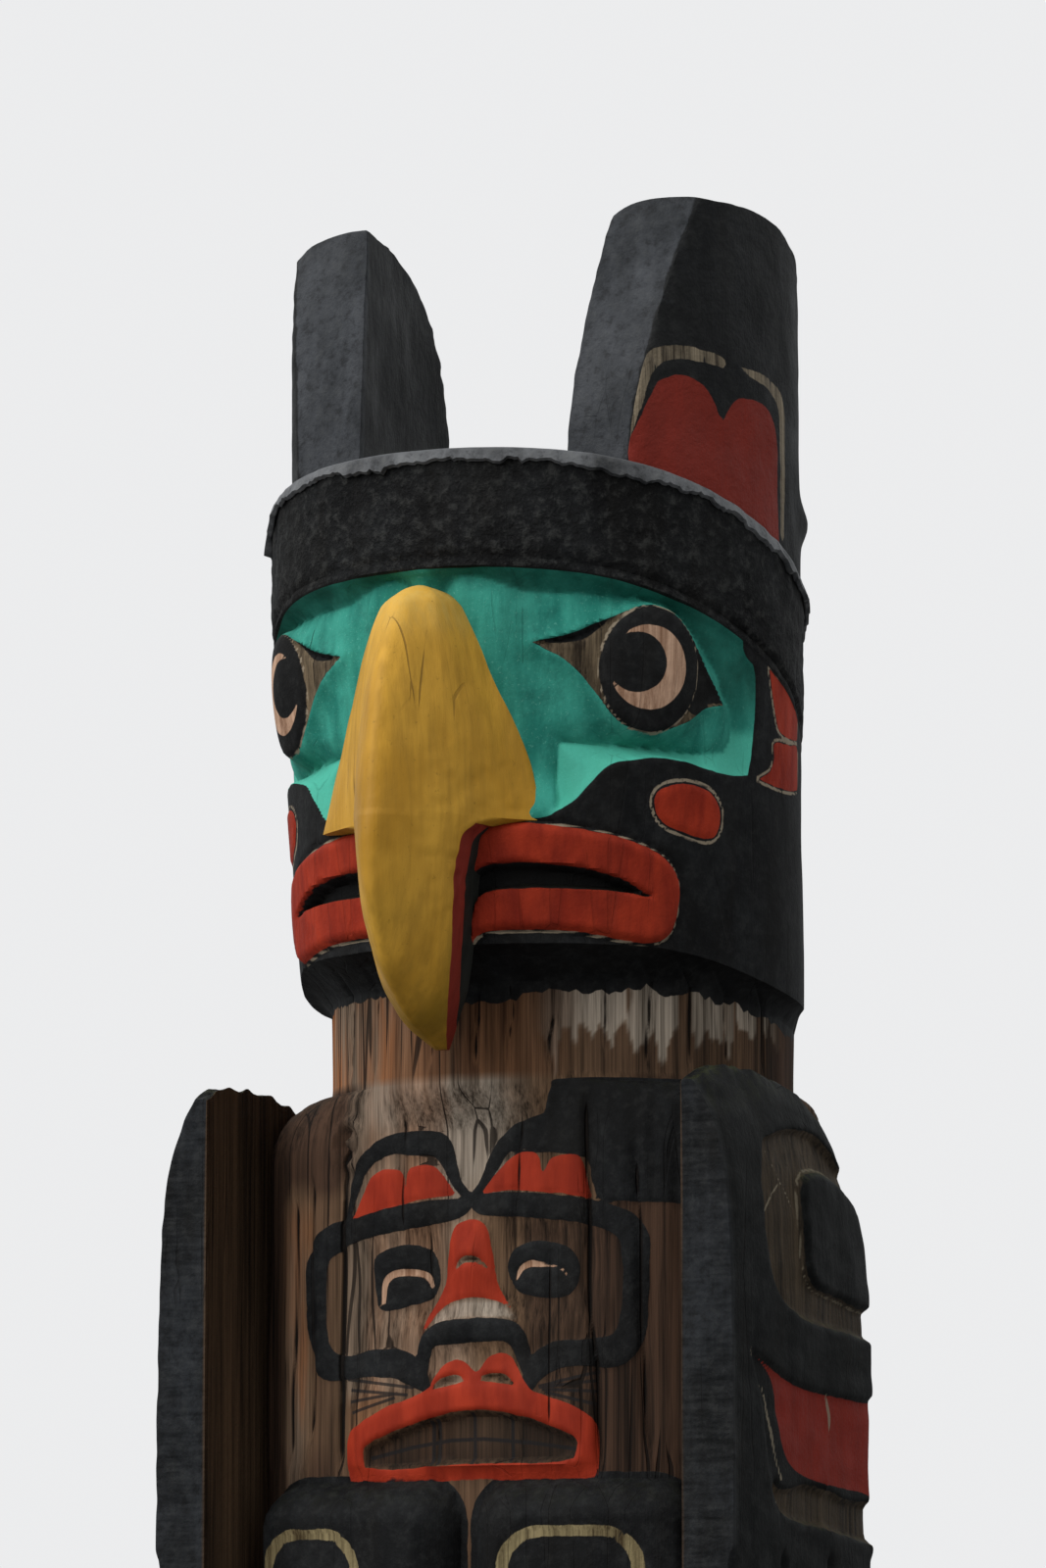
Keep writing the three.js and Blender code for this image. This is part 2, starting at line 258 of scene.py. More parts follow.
class Wiring:  # adds nodes to one tree, linking any input that is given as a socket
    def __init__(self, tree):
        self.tree = tree

    def feed(self, node, inputs):
        for key, value in dict(inputs).items():
            if isinstance(value, bpy.types.NodeSocket):
                self.tree.links.new(value, node.inputs[key])
            else:
                node.inputs[key].default_value = value
        return node

    def add(self, kind, inputs=(), **settings):
        node = self.tree.nodes.new(kind)
        for key, value in settings.items():
            setattr(node, key, value)
        return self.feed(node, inputs)

    def math(self, operation, a, b=0.0, clamp=False):
        return self.add("ShaderNodeMath", {0: a, 1: b}, operation=operation, use_clamp=clamp).outputs[0]

    def plus(self, a, b, clamp=False):
        return self.math("ADD", a, b, clamp)

    def minus(self, a, b, clamp=False):
        return self.math("SUBTRACT", a, b, clamp)

    def times(self, a, b):
        return self.math("MULTIPLY", a, b)

    def larger(self, a, b):
        return self.math("MAXIMUM", a, b)

    def blend(self, share, a, b):
        return self.add("ShaderNodeMix", {0: share, 6: a, 7: b}, data_type="RGBA").outputs[2]

    def between(self, share, pair):  # from the darker to the lighter of two card colours
        return self.blend(share, paintColour(*pair[0]), paintColour(*pair[1]))

    def fade(self, value, fromLow, fromHigh, low=0.0, high=1.0, smooth=True):
        node = self.add("ShaderNodeMapRange", {0: value, 1: fromLow, 2: fromHigh, 3: low, 4: high})
        node.interpolation_type = "SMOOTHSTEP" if smooth else "LINEAR"
        return node.outputs[0]

    def spots(self, vector, scale, detail=3.0, stretch=(1, 1, 1), roughness=0.55):
        shifted = self.add("ShaderNodeMapping", {"Vector": vector, "Scale": stretch})
        node = self.add("ShaderNodeTexNoise", {"Vector": shifted.outputs[0], "Scale": scale, "Detail": detail,
                                               "Roughness": roughness})
        return node.outputs[0]

    def field(self, name):
        return self.add("ShaderNodeAttribute", attribute_name=name).outputs["Fac"]

    def group(self, tree, inputs):
        return self.add("ShaderNodeGroup", inputs, node_tree=tree).outputs


def newGroup(name, inputs, outputs):
    tree = bpy.data.node_groups.new(name, "ShaderNodeTree")
    for direction, sockets in (("INPUT", inputs), ("OUTPUT", outputs)):
        for label, kind, start in sockets:
            socket = tree.interface.new_socket(name=label, in_out=direction, socket_type="NodeSocket" + kind)
            if start is not None and direction == "INPUT":
                socket.default_value = start
    wire = Wiring(tree)
    source = wire.add("NodeGroupInput").outputs
    target = wire.add("NodeGroupOutput").inputs
    return tree, wire, source, target


def makeGrainGroup():
    tree, wire, source, target = newGroup(
        "cedarGrain",
        [("Vector", "Vector", None), ("Fineness", "Float", 1.0), ("Check Amount", "Float", 0.5)],
        [("Streak", "Float", None), ("Check", "Float", None), ("Height", "Float", None)])
    sized = wire.add("ShaderNodeVectorMath", {0: source["Vector"]}, operation="SCALE")
    tree.links.new(source["Fineness"], sized.inputs["Scale"])
    at = sized.outputs[0]
    wide = wire.spots(at, 16, 3, (1, 1, 0.05))
    fine = wire.spots(at, 120, 4, (1, 1, 0.02), 0.6)
    hair = wire.spots(at, 420, 2, (1, 1, 0.012))
    streak = wire.plus(wire.times(wide, 0.35), wire.times(fine, 0.45))
    streak = wire.plus(streak, wire.times(hair, 0.2))
    bent = wire.add("ShaderNodeMapping", {"Vector": at, "Scale": (1, 1, 0.045)})
    cells = wire.add("ShaderNodeTexVoronoi", {"Vector": bent.outputs[0], "Scale": 24}, feature="DISTANCE_TO_EDGE")
    gate = wire.spots(at, 7, 3, (1, 1, 0.35))
    opening = wire.minus(0.62, wire.times(source["Check Amount"], 0.28))
    width = wire.fade(gate, opening, wire.plus(opening, 0.2), 0.0, 0.04)
    line = wire.minus(1.0, wire.math("DIVIDE", cells.outputs[0], wire.plus(width, 0.0008)),
                     clamp=True)
    check = wire.times(wire.fade(line, 0.0, 0.5), wire.fade(width, 0.002, 0.02))
    tree.links.new(wire.fade(streak, 0.39, 0.61, smooth=False), target["Streak"])
    tree.links.new(check, target["Check"])
    lines = wire.plus(wire.times(fine, 0.6), wire.times(hair, 0.4))
    tree.links.new(wire.minus(lines, wire.times(check, 1.2)), target["Height"])
    return tree


def makePaintGroup():
    tree, wire, source, target = newGroup(
        "paintLayer",
        [("Vector", "Vector", None), ("Gap", "Float", 0.0), ("Wobble", "Float", 0.0012), ("Wear", "Float", 0.3)],
        [("Cover", "Float", None)])
    at = source["Vector"]
    shake = wire.minus(wire.spots(at, 45, 3), 0.5)
    gap = wire.plus(source["Gap"], wire.times(shake, wire.times(source["Wobble"], 4)))
    edge = wire.fade(gap, 0.0006, -0.0006)
    scratch = wire.spots(at, 60, 5, (1, 1, 0.12), 0.7)
    patch = wire.spots(at, 9, 4, (1, 1, 0.4), 0.65)
    flake = wire.plus(wire.times(scratch, 0.5), wire.times(patch, 0.5))
    limit = wire.minus(0.86, wire.times(source["Wear"], 0.4))
    lost = wire.fade(flake, limit, wire.plus(limit, 0.04))
    tree.links.new(wire.times(edge, wire.minus(1.0, lost)), target["Cover"])
    return tree


def makeGrimeGroup():
    tree, wire, source, target = newGroup(
        "rainAndGrime",
        [("Vector", "Vector", None), ("Colour", "Color", None), ("Grime", "Float", 0.4), ("Moss", "Float", 0.1)],
        [("Colour", "Color", None), ("Dull", "Float", None)])
    at = source["Vector"]
    run = wire.fade(wire.spots(at, 22, 4, (1, 1, 0.12), 0.6), 0.42, 0.72)
    blotch = wire.fade(wire.spots(at, 5, 4), 0.4, 0.7)
    dirt = wire.times(wire.plus(wire.times(run, 0.6), wire.times(blotch, 0.4)),
                     source["Grime"])
    dirty = wire.blend(dirt, source["Colour"], paintColour(34, 30, 24))
    up = wire.add("ShaderNodeSeparateXYZ", {0: wire.add("ShaderNodeNewGeometry").outputs["Normal"]}).outputs[2]
    ledge = wire.times(wire.fade(up, 0.25, 0.8), source["Moss"])
    speck = wire.fade(wire.spots(at, 55, 4, roughness=0.7), 0.42, 0.6)
    green = wire.times(ledge, speck)
    tree.links.new(wire.blend(green, dirty, paintColour(86, 92, 44)), target["Colour"])
    tree.links.new(wire.plus(dirt, green, clamp=True), target["Dull"])
    return tree


def makeCoatGroup():
    tree, wire, source, target = newGroup(
        "coatWithSheenAndShade",
        [("Vector", "Vector", None), ("Dark", "Color", None), ("Light", "Color", None), ("Dust And Sheen", "Float", 0.3),
         ("Blister", "Float", 0.5)],
        [("Colour", "Color", None), ("Height", "Float", None)])
    at = source["Vector"]
    cloud = wire.fade(wire.spots(at, 7, 5), 0.36, 0.64)
    runs = wire.fade(wire.spots(at, 30, 4, (1, 1, 0.12)), 0.4, 0.7)
    tone = wire.plus(wire.times(cloud, 0.6), wire.times(runs, 0.4))
    base = wire.blend(tone, source["Dark"], source["Light"])
    grit = wire.spots(at, 230, 3, roughness=0.75)
    lumps = wire.spots(at, 62, 5, roughness=0.7)
    # painted sheen: grit and the tops of the lumps are lightened toward grey, part dust and part painted sheen
    specksAndSheen = wire.plus(wire.times(wire.fade(grit, 0.5, 0.75), 0.35),
                     wire.times(wire.fade(lumps, 0.48, 0.66), 0.65))
    dustAndSheen = wire.times(specksAndSheen, source["Dust And Sheen"])
    dustedAndSheened = wire.blend(dustAndSheen, base, paintColour(112, 112, 108))
    # painted shade: the dips between the lumps are darkened toward black
    tree.links.new(wire.blend(wire.times(wire.fade(lumps, 0.5, 0.34), 0.55), dustedAndSheened, (0.004, 0.004, 0.004, 1)),
                   target["Colour"])
    tree.links.new(wire.plus(wire.times(grit, 0.25), wire.times(lumps, source["Blister"])),
                   target["Height"])
    return tree


coatGroup = makeCoatGroup()
grainGroup = makeGrainGroup()
paintGroup = makePaintGroup()
grimeGroup = makeGrimeGroup()


def startMaterial(name):
    material = bpy.data.materials.new(name)
    material.use_nodes = True
    tree = material.node_tree
    tree.nodes.clear()
    wire = Wiring(tree)
    shader = wire.add("ShaderNodeBsdfPrincipled")
    out = wire.add("ShaderNodeOutputMaterial")
    tree.links.new(shader.outputs[0], out.inputs[0])
    at = wire.add("ShaderNodeTexCoord").outputs["Object"]
    return material, wire, shader, at


def finishSurface(wire, shader, colour, roughness, height, depth):
    wire.tree.links.new(colour, shader.inputs["Base Color"])
    wire.tree.links.new(roughness, shader.inputs["Roughness"])
    bump = wire.add("ShaderNodeBump", {"Height": height, "Distance": depth, "Strength": 0.8})
    wire.tree.links.new(bump.outputs[0], shader.inputs["Normal"])


def grainOf(wire, at, fineness, checks):
    return wire.group(grainGroup, {"Vector": at, "Fineness": fineness, "Check Amount": checks})


def coverOf(wire, at, gap, wear, wobble=0.0012):  # where a layer of paint still covers, from its outline's distance
    return wire.group(paintGroup, {"Vector": at, "Gap": gap, "Wobble": wobble, "Wear": wear})["Cover"]


def coatOf(wire, at, pair, dustAndSheen, blister):
    dark, light = (paintColour(*card) for card in pair)
    return wire.group(coatGroup, {"Vector": at, "Dark": dark, "Light": light, "Dust And Sheen": dustAndSheen, "Blister": blister})


def weather(wire, at, colour, grime, moss=0.0):
    return wire.group(grimeGroup, {"Vector": at, "Colour": colour, "Grime": grime, "Moss": moss})


def heightOf(wire, at):
    return wire.add("ShaderNodeSeparateXYZ", {0: at}).outputs[2]


print("helpers ready")


studio = {
    "cameraPlace": (4.1425, -8.6227, 0.5156), "cameraTurn": (98, 0, 26), "lens": 155.25, "sensor": 36,
    "backdrop": 0.85, "sky": 1.25, "horizon": 0.50, "ground": 0.10, "keyFrom": (-0.65, -0.95, 0.85),
    "keyPower": 2.4, "keySpread": 60, "floorSize": 30,
}


def makeStudio():
    camera = bpy.data.objects.new("camera", bpy.data.cameras.new("camera"))
    camera.data.lens = studio["lens"]
    camera.data.sensor_width = studio["sensor"]
    camera.data.clip_end = 200
    camera.location = studio["cameraPlace"]
    camera.rotation_euler = [math.radians(a) for a in studio["cameraTurn"]]
    bpy.context.scene.collection.objects.link(camera)
    bpy.context.scene.camera = camera
    bpy.context.scene.view_settings.view_transform = "Standard"

    world = bpy.data.worlds.new("paleStudio")
    world.use_nodes = True
    bpy.context.scene.world = world
    wire = Wiring(world.node_tree)
    world.node_tree.nodes.clear()
    seen = wire.add("ShaderNodeBackground", {"Color": (0.985, 0.99, 1.0, 1), "Strength": studio["backdrop"]})
    up = wire.add("ShaderNodeSeparateXYZ", {0: wire.add("ShaderNodeTexCoord").outputs["Generated"]}).outputs[2]
    above = wire.fade(up, 0.0, 1.0, studio["horizon"], studio["sky"], smooth=False)
    below = wire.fade(up, -0.25, 0.0, studio["ground"] - studio["horizon"], 0.0)
    felt = wire.add("ShaderNodeBackground", {"Color": (0.95, 0.98, 1.0, 1),
                                             "Strength": wire.plus(above, below)})
    choose = wire.add("ShaderNodeMixShader", {0: wire.add("ShaderNodeLightPath").outputs["Is Camera Ray"],
                                              1: felt.outputs[0], 2: seen.outputs[0]})
    out = wire.add("ShaderNodeOutputWorld")
    world.node_tree.links.new(choose.outputs[0], out.inputs[0])

    light = bpy.data.lights.new("softKey", "SUN")
    light.energy = studio["keyPower"]
    light.angle = math.radians(studio["keySpread"])
    lamp = bpy.data.objects.new("softKey", light)
    x, y, z = studio["keyFrom"]
    lamp.rotation_euler = (math.atan2(math.hypot(x, y), z), 0, math.atan2(x, -y))
    bpy.context.scene.collection.objects.link(lamp)

    half = studio["floorSize"] / 2
    mesh = bpy.data.meshes.new("floor")
    mesh.from_pydata([(-half, -half, 0), (half, -half, 0), (half, half, 0), (-half, half, 0)], [], [(0, 1, 2, 3)])
    floor = bpy.data.objects.new("floor", mesh)
    bpy.context.scene.collection.objects.link(floor)
    material, wire, shader, at = startMaterial("paleFloor")
    cloud = wire.spots(at, 1.5, 3)
    pale = wire.blend(cloud, (0.62, 0.62, 0.62, 1), (0.68, 0.68, 0.68, 1))
    seen = wire.add("ShaderNodeLightPath").outputs["Is Camera Ray"]  # the pale floor throws little light back up
    wire.tree.links.new(wire.blend(seen, (0.16, 0.16, 0.16, 1), pale), shader.inputs["Base Color"])
    shader.inputs["Roughness"].default_value = 0.9
    mesh.materials.append(material)


makeStudio()
print("studio ready")

# The log: drum, legs, chest, neck, head and band in one carved piece.

headShape = {"radius": 0.378, "forward": 0.080, "crown": 2.262, "band": 2.105, "jaw": 1.583, "taper": 0.046,
             "crownSlope": 0.36, "bandSlope": 0.44, "underBand": 0.525}
headDepth = {"crease": (0.026, 0.036), "lid": (0.009, -0.004), "almond": 0.004, "eyeShade": 0.006, "ball": 0.013,
             "eyeRim": 0.0020, "lips": 0.009, "slit": 0.026, "spot": 0.003, "lipLine": 0.003, "step": 0.004}
bodyShape = {"half": 0.400, "back": 0.372, "front": 0.297, "squareness": 3.3, "flank": 0.3617, "neck": 0.328,
             "step": 1.418, "shoulderTop": 1.405, "shoulderBottom": 1.305, "thighTop": 0.857,
             "thighBottom": 0.530, "drumRadius": logBox[1].x, "drumTop": 0.180,
             "legRows": (0.874, 48), "chestRows": (0.8795, 77), "shoulderRows": 20, "headRows": 98}

legShape = {"thighMiddle": 0.166, "thighHalf": 0.152, "corner": 0.055, "legMiddle": 0.180, "thighDepth": 0.052,
            "insetDepth": 0.005, "shankDepth": 0.026, "footDepth": 0.040, "clawDepth": 0.022, "clawPitch": 0.090}

# Outlines on the head, from its middle toward one ear; both sides are alike.
headPaint = {
    "tealField": [(-4, 2140), (40, 2140), (70, 2060), (76, 1999), (79.5, 1980), (80.6, 1930), (80.3, 1870),
                  (79.3, 1832), (79.3, 1832), (75, 1829), (67, 1832), (60, 1840), (53, 1842), (47, 1836),
                  (42, 1828), (38, 1804), (34, 1778), (29.8, 1763), (29.8, 1763), (24, 1754), (-4, 1750)],
    "eyeAlmond": [(24.4, 1997), (24.4, 1997), (33, 2009), (41.5, 2031), (51, 2050), (59, 2024), (64.4, 1972),
                  (70, 1922), (70, 1922), (65, 1915), (60, 1893), (51, 1876), (44, 1890), (39, 1926),
                  (35, 1955), (31, 1976), (28, 1985)],
    "eyeShade": [(24.4, 1997), (24.4, 1997), (33, 2010), (43, 2034), (43, 2034), (38.5, 2012), (35.5, 2000),
                 (30, 1996)],
    "eyeCorner": [(61, 2010), (66, 1966), (71, 1924), (71, 1924), (66, 1922), (62, 1905), (56, 1950)],
    "lips": [(3, 1698), (7, 1712), (9, 1729), (13, 1742), (20, 1748), (28, 1745), (36, 1739), (44, 1731),
             (51, 1720), (57, 1703), (60.5, 1672), (60.5, 1634), (58.5, 1602), (54, 1588), (47, 1590),
             (38, 1598), (28, 1602), (18, 1602), (12.5, 1599), (10, 1586), (8.6, 1560), (6.5, 1530), (3, 1530)],
    "crease": [(4, 2072), (24, 2067), (36, 2065), (43, 2063), (51, 2060), (56, 2052), (60.3, 2037), (64, 2013),
               (67, 1986), (70, 1964), (71.5, 1944), (74.8, 1920), (75.6, 1900), (75.6, 1880), (73.6, 1861),
               (73.6, 1861), (65.4, 1855), (53.5, 1859), (44.6, 1860), (38, 1861), (31, 1863), (31, 1863),
               (29.8, 1768), (29.8, 1768), (4, 1758)],
    "slit": [(7, 1560), (8.5, 1610), (9, 1650), (10.3, 1675), (13, 1689), (18, 1694), (28, 1692), (38, 1685),
             (46, 1671), (53.5, 1650), (53.5, 1650), (46, 1655), (38, 1658), (26, 1659), (17, 1657),
             (12.5, 1650), (10.6, 1630), (9.8, 1600), (8, 1560)],
    "cheekSpot": [(53, 1779), (54, 1797), (58, 1807), (63, 1808), (68, 1799), (71, 1779), (71.2, 1757),
                  (69.5, 1740), (65.5, 1737), (60, 1744), (55, 1756)],
    "sideUpper": [(85, 1986), (85, 1986), (91, 1969), (98, 1957), (105, 1950), (105, 1902), (105, 1902),
                  (98, 1897), (91, 1903), (88, 1935)],
    "sideLower": [(89, 1884), (97, 1887), (105, 1888), (105, 1830), (105, 1830), (98, 1824), (91, 1823),
                  (83, 1829), (83, 1829), (87.5, 1843), (89, 1862)],
}
eyeSpot = {"middle": (50.9, 1.962), "ring": (0.0760, 0.0865), "whiteMiddle": (49.9, 1.9640),
           "white": (0.0560, 0.0580), "pupilMiddle": (47.2, 1.970), "pupil": 0.0415}

chestDepth = {"nose": 0.016, "arch": 0.014, "muzzle": 0.010, "mouth": 0.014, "holes": 0.006, "raised": 0.0025,
              "sockets": 0.008}

# Outlines on the chest and thighs, across and up, in millimetres.
chestInk = [  # black brush lines: across, up, half width
    [(-197, 1216, 4), (-186, 1248, 6), (-174, 1284, 10), (-154, 1311, 12), (-120, 1325, 14), (-82, 1325, 17),
     (-48, 1322, 17), (-32, 1300, 12), (-19, 1268, 8), (2, 1245, 6)],
    [(2, 1245, 6), (20, 1263, 7), (36, 1291, 10), (52, 1315, 12), (78, 1329, 18), (112, 1334, 24)],
    [(4, 1241, 6), (-22, 1232, 15), (-60, 1229, 17), (-110, 1223, 17), (-165, 1214, 18), (-214, 1200, 20),
     (-245, 1172, 21), (-249, 1120, 20), (-247, 1065, 20), (-230, 1026, 21), (-194, 1018, 16), (-150, 1023, 19),
     (-108, 1021, 20), (-78, 1006, 17), (-62, 990, 8)],
    [(4, 1241, 6), (26, 1237, 15), (70, 1236, 17), (117, 1232, 17), (165, 1225, 17), (210, 1213, 18),
     (240, 1190, 20), (244, 1144, 18), (242, 1090, 18), (235, 1052, 21), (212, 1032, 22), (170, 1031, 18),
     (130, 1027, 19), (105, 1012, 17), (92, 990, 10)],
    [(-60, 984, 5), (-68, 1016, 9), (-64, 1042, 11), (-50, 1058, 14), (-24, 1062, 17), (16, 1064, 17),
     (56, 1063, 15), (76, 1050, 13), (86, 1020, 10), (97, 984, 5)],
    # painted shadow: this black line stands for the dark of a recess above the right red lobe
    [(68, 1302, 3), (96, 1309, 4), (124, 1311, 6), (172, 1306, 8)],
]
chestDarkPatch = [(96, 1330), (112, 1356), (126, 1392), (140, 1408), (260, 1420), (420, 1400), (420, 1220),
                  (300, 1232), (240, 1236), (196, 1238), (184, 1262), (176, 1296), (150, 1312), (112, 1312)]
chestEyeLeft = [(-156, 1160), (-148, 1174), (-122, 1184), (-90, 1185), (-60, 1175), (-47, 1154), (-48, 1126),
                (-64, 1109), (-96, 1101), (-128, 1095), (-146, 1101), (-152, 1124)]
chestEyeRight = [(58, 1150), (67, 1173), (88, 1183), (117, 1184), (148, 1176), (164, 1158), (165, 1130),
                 (151, 1111), (124, 1106), (80, 1114), (64, 1130)]
chestEyeWhites = [
    [(-139, 1106, 3), (-137, 1134, 4.5), (-122, 1146, 5), (-92, 1147, 5), (-70, 1142, 4.5), (-61, 1126, 3)],
    [(72, 1133, 1.5), (78, 1147, 4), (92, 1154, 5), (106, 1153, 4), (124, 1151, 1.6), (140, 1145, 1.6),
     (149, 1134, 1)],
]
chestRed = {
    "earLeft": [(-185, 1224), (-185, 1224), (-168, 1256), (-155, 1280), (-136, 1290), (-112, 1290), (-104, 1283),
                (-100, 1262), (-96, 1284), (-86, 1293), (-60, 1294), (-42, 1282), (-17, 1250), (-17, 1250),
                (-60, 1248), (-118, 1239)],
    "earRight": [(19, 1252), (19, 1252), (34, 1271), (54, 1291), (72, 1305), (94, 1307), (106, 1300), (112, 1279),
                 (124, 1297), (142, 1302), (163, 1299), (174, 1284), (183, 1240), (183, 1240), (148, 1247),
                 (102, 1252), (58, 1255)],
    "nose": [(-30, 1164), (-26, 1190), (-18, 1209), (-2, 1216), (14, 1216), (28, 1206), (35, 1182), (40, 1149),
             (46, 1124), (62, 1098), (76, 1076), (76, 1076), (58, 1095), (38, 1105), (8, 1109), (-22, 1104),
             (-44, 1092), (-68, 1062), (-68, 1062), (-62, 1087), (-46, 1110), (-34, 1134)],
    "mouth": [(-188, 860), (-188, 860), (-187, 922), (-160, 942), (-124, 960), (-80, 974), (-56, 986), (-50, 1002),
              (-38, 1017), (-20, 1026), (-2, 1020), (13, 1008), (28, 1026), (50, 1033), (66, 1026), (80, 1004),
              (95, 982), (118, 972), (154, 959), (187, 936), (194, 912), (192, 860), (192, 860)],
}
chestHollows = {
    "mouth": [(-158, 880), (-158, 880), (-155, 908), (-116, 926), (-58, 945), (-2, 954), (38, 954), (86, 946),
              (129, 930), (160, 913), (158, 886), (158, 886), (117, 882), (0, 882), (-66, 878), (-120, 876)],
    "nostrilLeft": [(-53, 984), (-53, 984), (-42, 998), (-22, 1004), (1, 997), (1, 997), (-26, 991)],
    "nostrilRight": [(13, 997), (13, 997), (34, 1005), (58, 1002), (74, 986), (74, 986), (48, 992)],
    "noseFold": [(-21, 1142), (-21, 1142), (-10, 1160), (6, 1167), (22, 1161), (37, 1142), (37, 1142),
                 (22, 1153), (6, 1157), (-8, 1153)],
}
paleBone = [(-52, 1073), (-40, 1091), (-8, 1103), (22, 1106), (50, 1100), (70, 1080), (60, 1079), (8, 1083),
            (-30, 1079)]
chestWhiskers = [((-190, 1002), (-84, 988)), ((-184, 987), (-92, 978)), ((-184, 971), (-108, 980)),
                 ((-180, 956), (-112, 974)), ((190, 1004), (112, 986)), ((186, 992), (113, 984)),
                 ((186, 978), (117, 981)), ((186, 961), (121, 977))]
mouthLines = [((-150, 893), (-90, 906)), ((-90, 906), (-30, 915)), ((-30, 915), (20, 916)), ((20, 916), (90, 910)),
              ((90, 910), (160, 900)), ((-56, 884), (-56, 940)), ((-47, 884), (-47, 942)), ((7, 884), (6, 950)),
              ((65, 886), (65, 944))]


def crownDrop(f, slope):
    return slope * 0.06 * np.log1p(np.exp((0.8 * headShape["radius"] - f) / 0.06))


def crownAt(f):  # f is the distance forward of the head's axis
    return headShape["crown"] + 0.004 - crownDrop(f, headShape["crownSlope"])


def bandLow(deg):
    f = headShape["radius"] * np.cos(np.radians(deg))
    return headShape["band"] + 0.004 - crownDrop(f, headShape["bandSlope"])


def jawOut(deg):
    return headShape["jaw"] - 0.055 * ease(50, 115, np.abs(deg))


def jawIn(deg):
    return jawOut(deg) - mix(0.042, 0.030, ease(60, 110, np.abs(deg)))


def headFields(deg, z):  # paint distances on the head
    a = np.abs(deg)
    u = headShape["radius"] * np.radians(a)
    field = {key: loopGap(u, z, onHead(points)) for key, points in headPaint.items()}
    field["teal"] = np.maximum(field["tealField"], z - bandLow(deg))

    def ellipse(middle, ru, rv):
        return ellipseGap(u - headShape["radius"] * math.radians(middle[0]), z - middle[1], ru, rv)

    field["ring"] = ellipse(eyeSpot["middle"], *eyeSpot["ring"])
    field["white"] = ellipse(eyeSpot["whiteMiddle"], *eyeSpot["white"])
    field["pupil"] = ellipse(eyeSpot["pupilMiddle"], eyeSpot["pupil"], eyeSpot["pupil"])
    return field


def headSurface(deg, z, field):
    a = np.abs(deg)
    radius = headShape["radius"]
    below = bandLow(deg) - z
    facing = ease(118, 60, a)
    taper = headShape["taper"] * np.clip(below / headShape["underBand"], 0, 1) * facing
    outer = ramp(30, 55, a)
    creaseDepth = mix(*headDepth["crease"], ease(2.0, 1.88, z)) * mix(1, 0.50, ease(58, 72, a))
    creaseDepth = creaseDepth * mix(1, ease(1.758, 1.830, z), ease(32, 29, a))
    lidDepth = mix(*headDepth["lid"], outer)
    eyeGap = np.minimum(field["eyeAlmond"], field["ring"])
    away, within = np.maximum(eyeGap, 0), np.maximum(-field["crease"], 0)
    socket = mix(lidDepth, creaseDepth, away / (away + within + 1e-6))
    past, left = np.maximum(field["crease"], 0), np.maximum(-field["teal"], 0)
    bevel = mix(creaseDepth, mix(0.002, -0.004, ease(0.012, 0.0, below)), past / (past + left + 1e-6))
    depth = np.where(field["crease"] < 0, socket, bevel) * ramp(0.001, -0.004, field["teal"])
    almond = ramp(0.001, -0.004, np.maximum(field["eyeAlmond"], -field["ring"]))
    depth = depth + almond * (headDepth["almond"] + headDepth["eyeShade"] * ease(0.004, -0.004, field["eyeShade"]))
    ball = np.clip(-field["ring"] / eyeSpot["ring"][0], 0, 1)
    depth = depth - headDepth["ball"] * np.sqrt(ball) * ramp(0, -0.003, field["ring"])
    rim = headDepth["eyeRim"] * ease(0.004, 0.0, np.abs(field["ring"]))
    lips = headDepth["lips"] * ease(0.004, -0.010, field["lips"])
    slit = -headDepth["slit"] * ease(0.002, -0.007, field["slit"])
    spot = headDepth["spot"] * ease(0.002, -0.006, field["cheekSpot"])
    lipLine = -headDepth["lipLine"] * ease(0.006, 0.001, np.abs(field["lips"] - 0.004)) * ease(8, 12, a)
    relief = -depth - rim + lips + slit + spot + lipLine
    return np.where(below <= 0, radius, radius - headDepth["step"] - taper + relief)


def bandSurface(deg, z):  # the band stands full, with a narrow lip under an incised line
    line = bandLow(deg) + 0.014
    groove = -0.004 * ease(0.006, 0.001, np.abs(z - line))
    lip = -0.0025 * ease(0.002, -0.004, z - line)
    return headShape["radius"] + groove + lip


def legRelief(across, z):
    x = np.abs(across)
    middle = (bodyShape["thighTop"] + bodyShape["thighBottom"]) / 2
    half = (bodyShape["thighTop"] - bodyShape["thighBottom"]) / 2
    thigh = boxGap(x - legShape["thighMiddle"], z - middle, legShape["thighHalf"], half, legShape["corner"])
    insetMiddle, insetHalf = np.where(across < 0, 0.205, 0.148), np.where(across < 0, 0.078, 0.094)
    inset = boxGap(x - insetMiddle, z - middle - 0.002, insetHalf, half - 0.062, 0.060)
    along = x - legShape["legMiddle"]
    shank = boxGap(along, z - 0.430, 0.080, 0.150, 0.030)
    foot = boxGap(along, z - 0.215, 0.135, 0.085, 0.060)
    claw = 0.5 + 0.5 * np.cos(along / legShape["clawPitch"] * 2 * np.pi)
    high = legShape["thighDepth"] * np.sqrt(ramp(0, -0.040, thigh))
    high = high - legShape["insetDepth"] * ease(0.004, -0.004, inset)
    mid = legShape["shankDepth"] * ease(0, -0.025, shank)
    low = (legShape["footDepth"] + legShape["clawDepth"] * claw) * ease(0, -0.045, foot)
    return np.maximum(high, np.maximum(mid, low)), {"thigh": thigh, "inset": inset, "foot": foot, "shank": shank}


def bodyOutline(deg, z):
    s = np.abs(np.sin(np.radians(deg)))
    c = np.cos(np.radians(deg))
    n = bodyShape["squareness"]
    front = (s / bodyShape["half"]) ** n + (np.maximum(c, 0) / bodyShape["front"]) ** n
    whole = np.where(c > 0, np.maximum(front, 1e-9) ** (-1 / n),
                     mix(bodyShape["half"], bodyShape["back"], ease(0, -0.4, c)))
    rise = ramp(bodyShape["shoulderBottom"], bodyShape["shoulderTop"], z)
    neck = bodyShape["neck"]
    return np.where(whole > neck, mix(neck, whole, np.sqrt(1 - rise * rise)), mix(whole, neck, ease(0.3, 1, rise)))


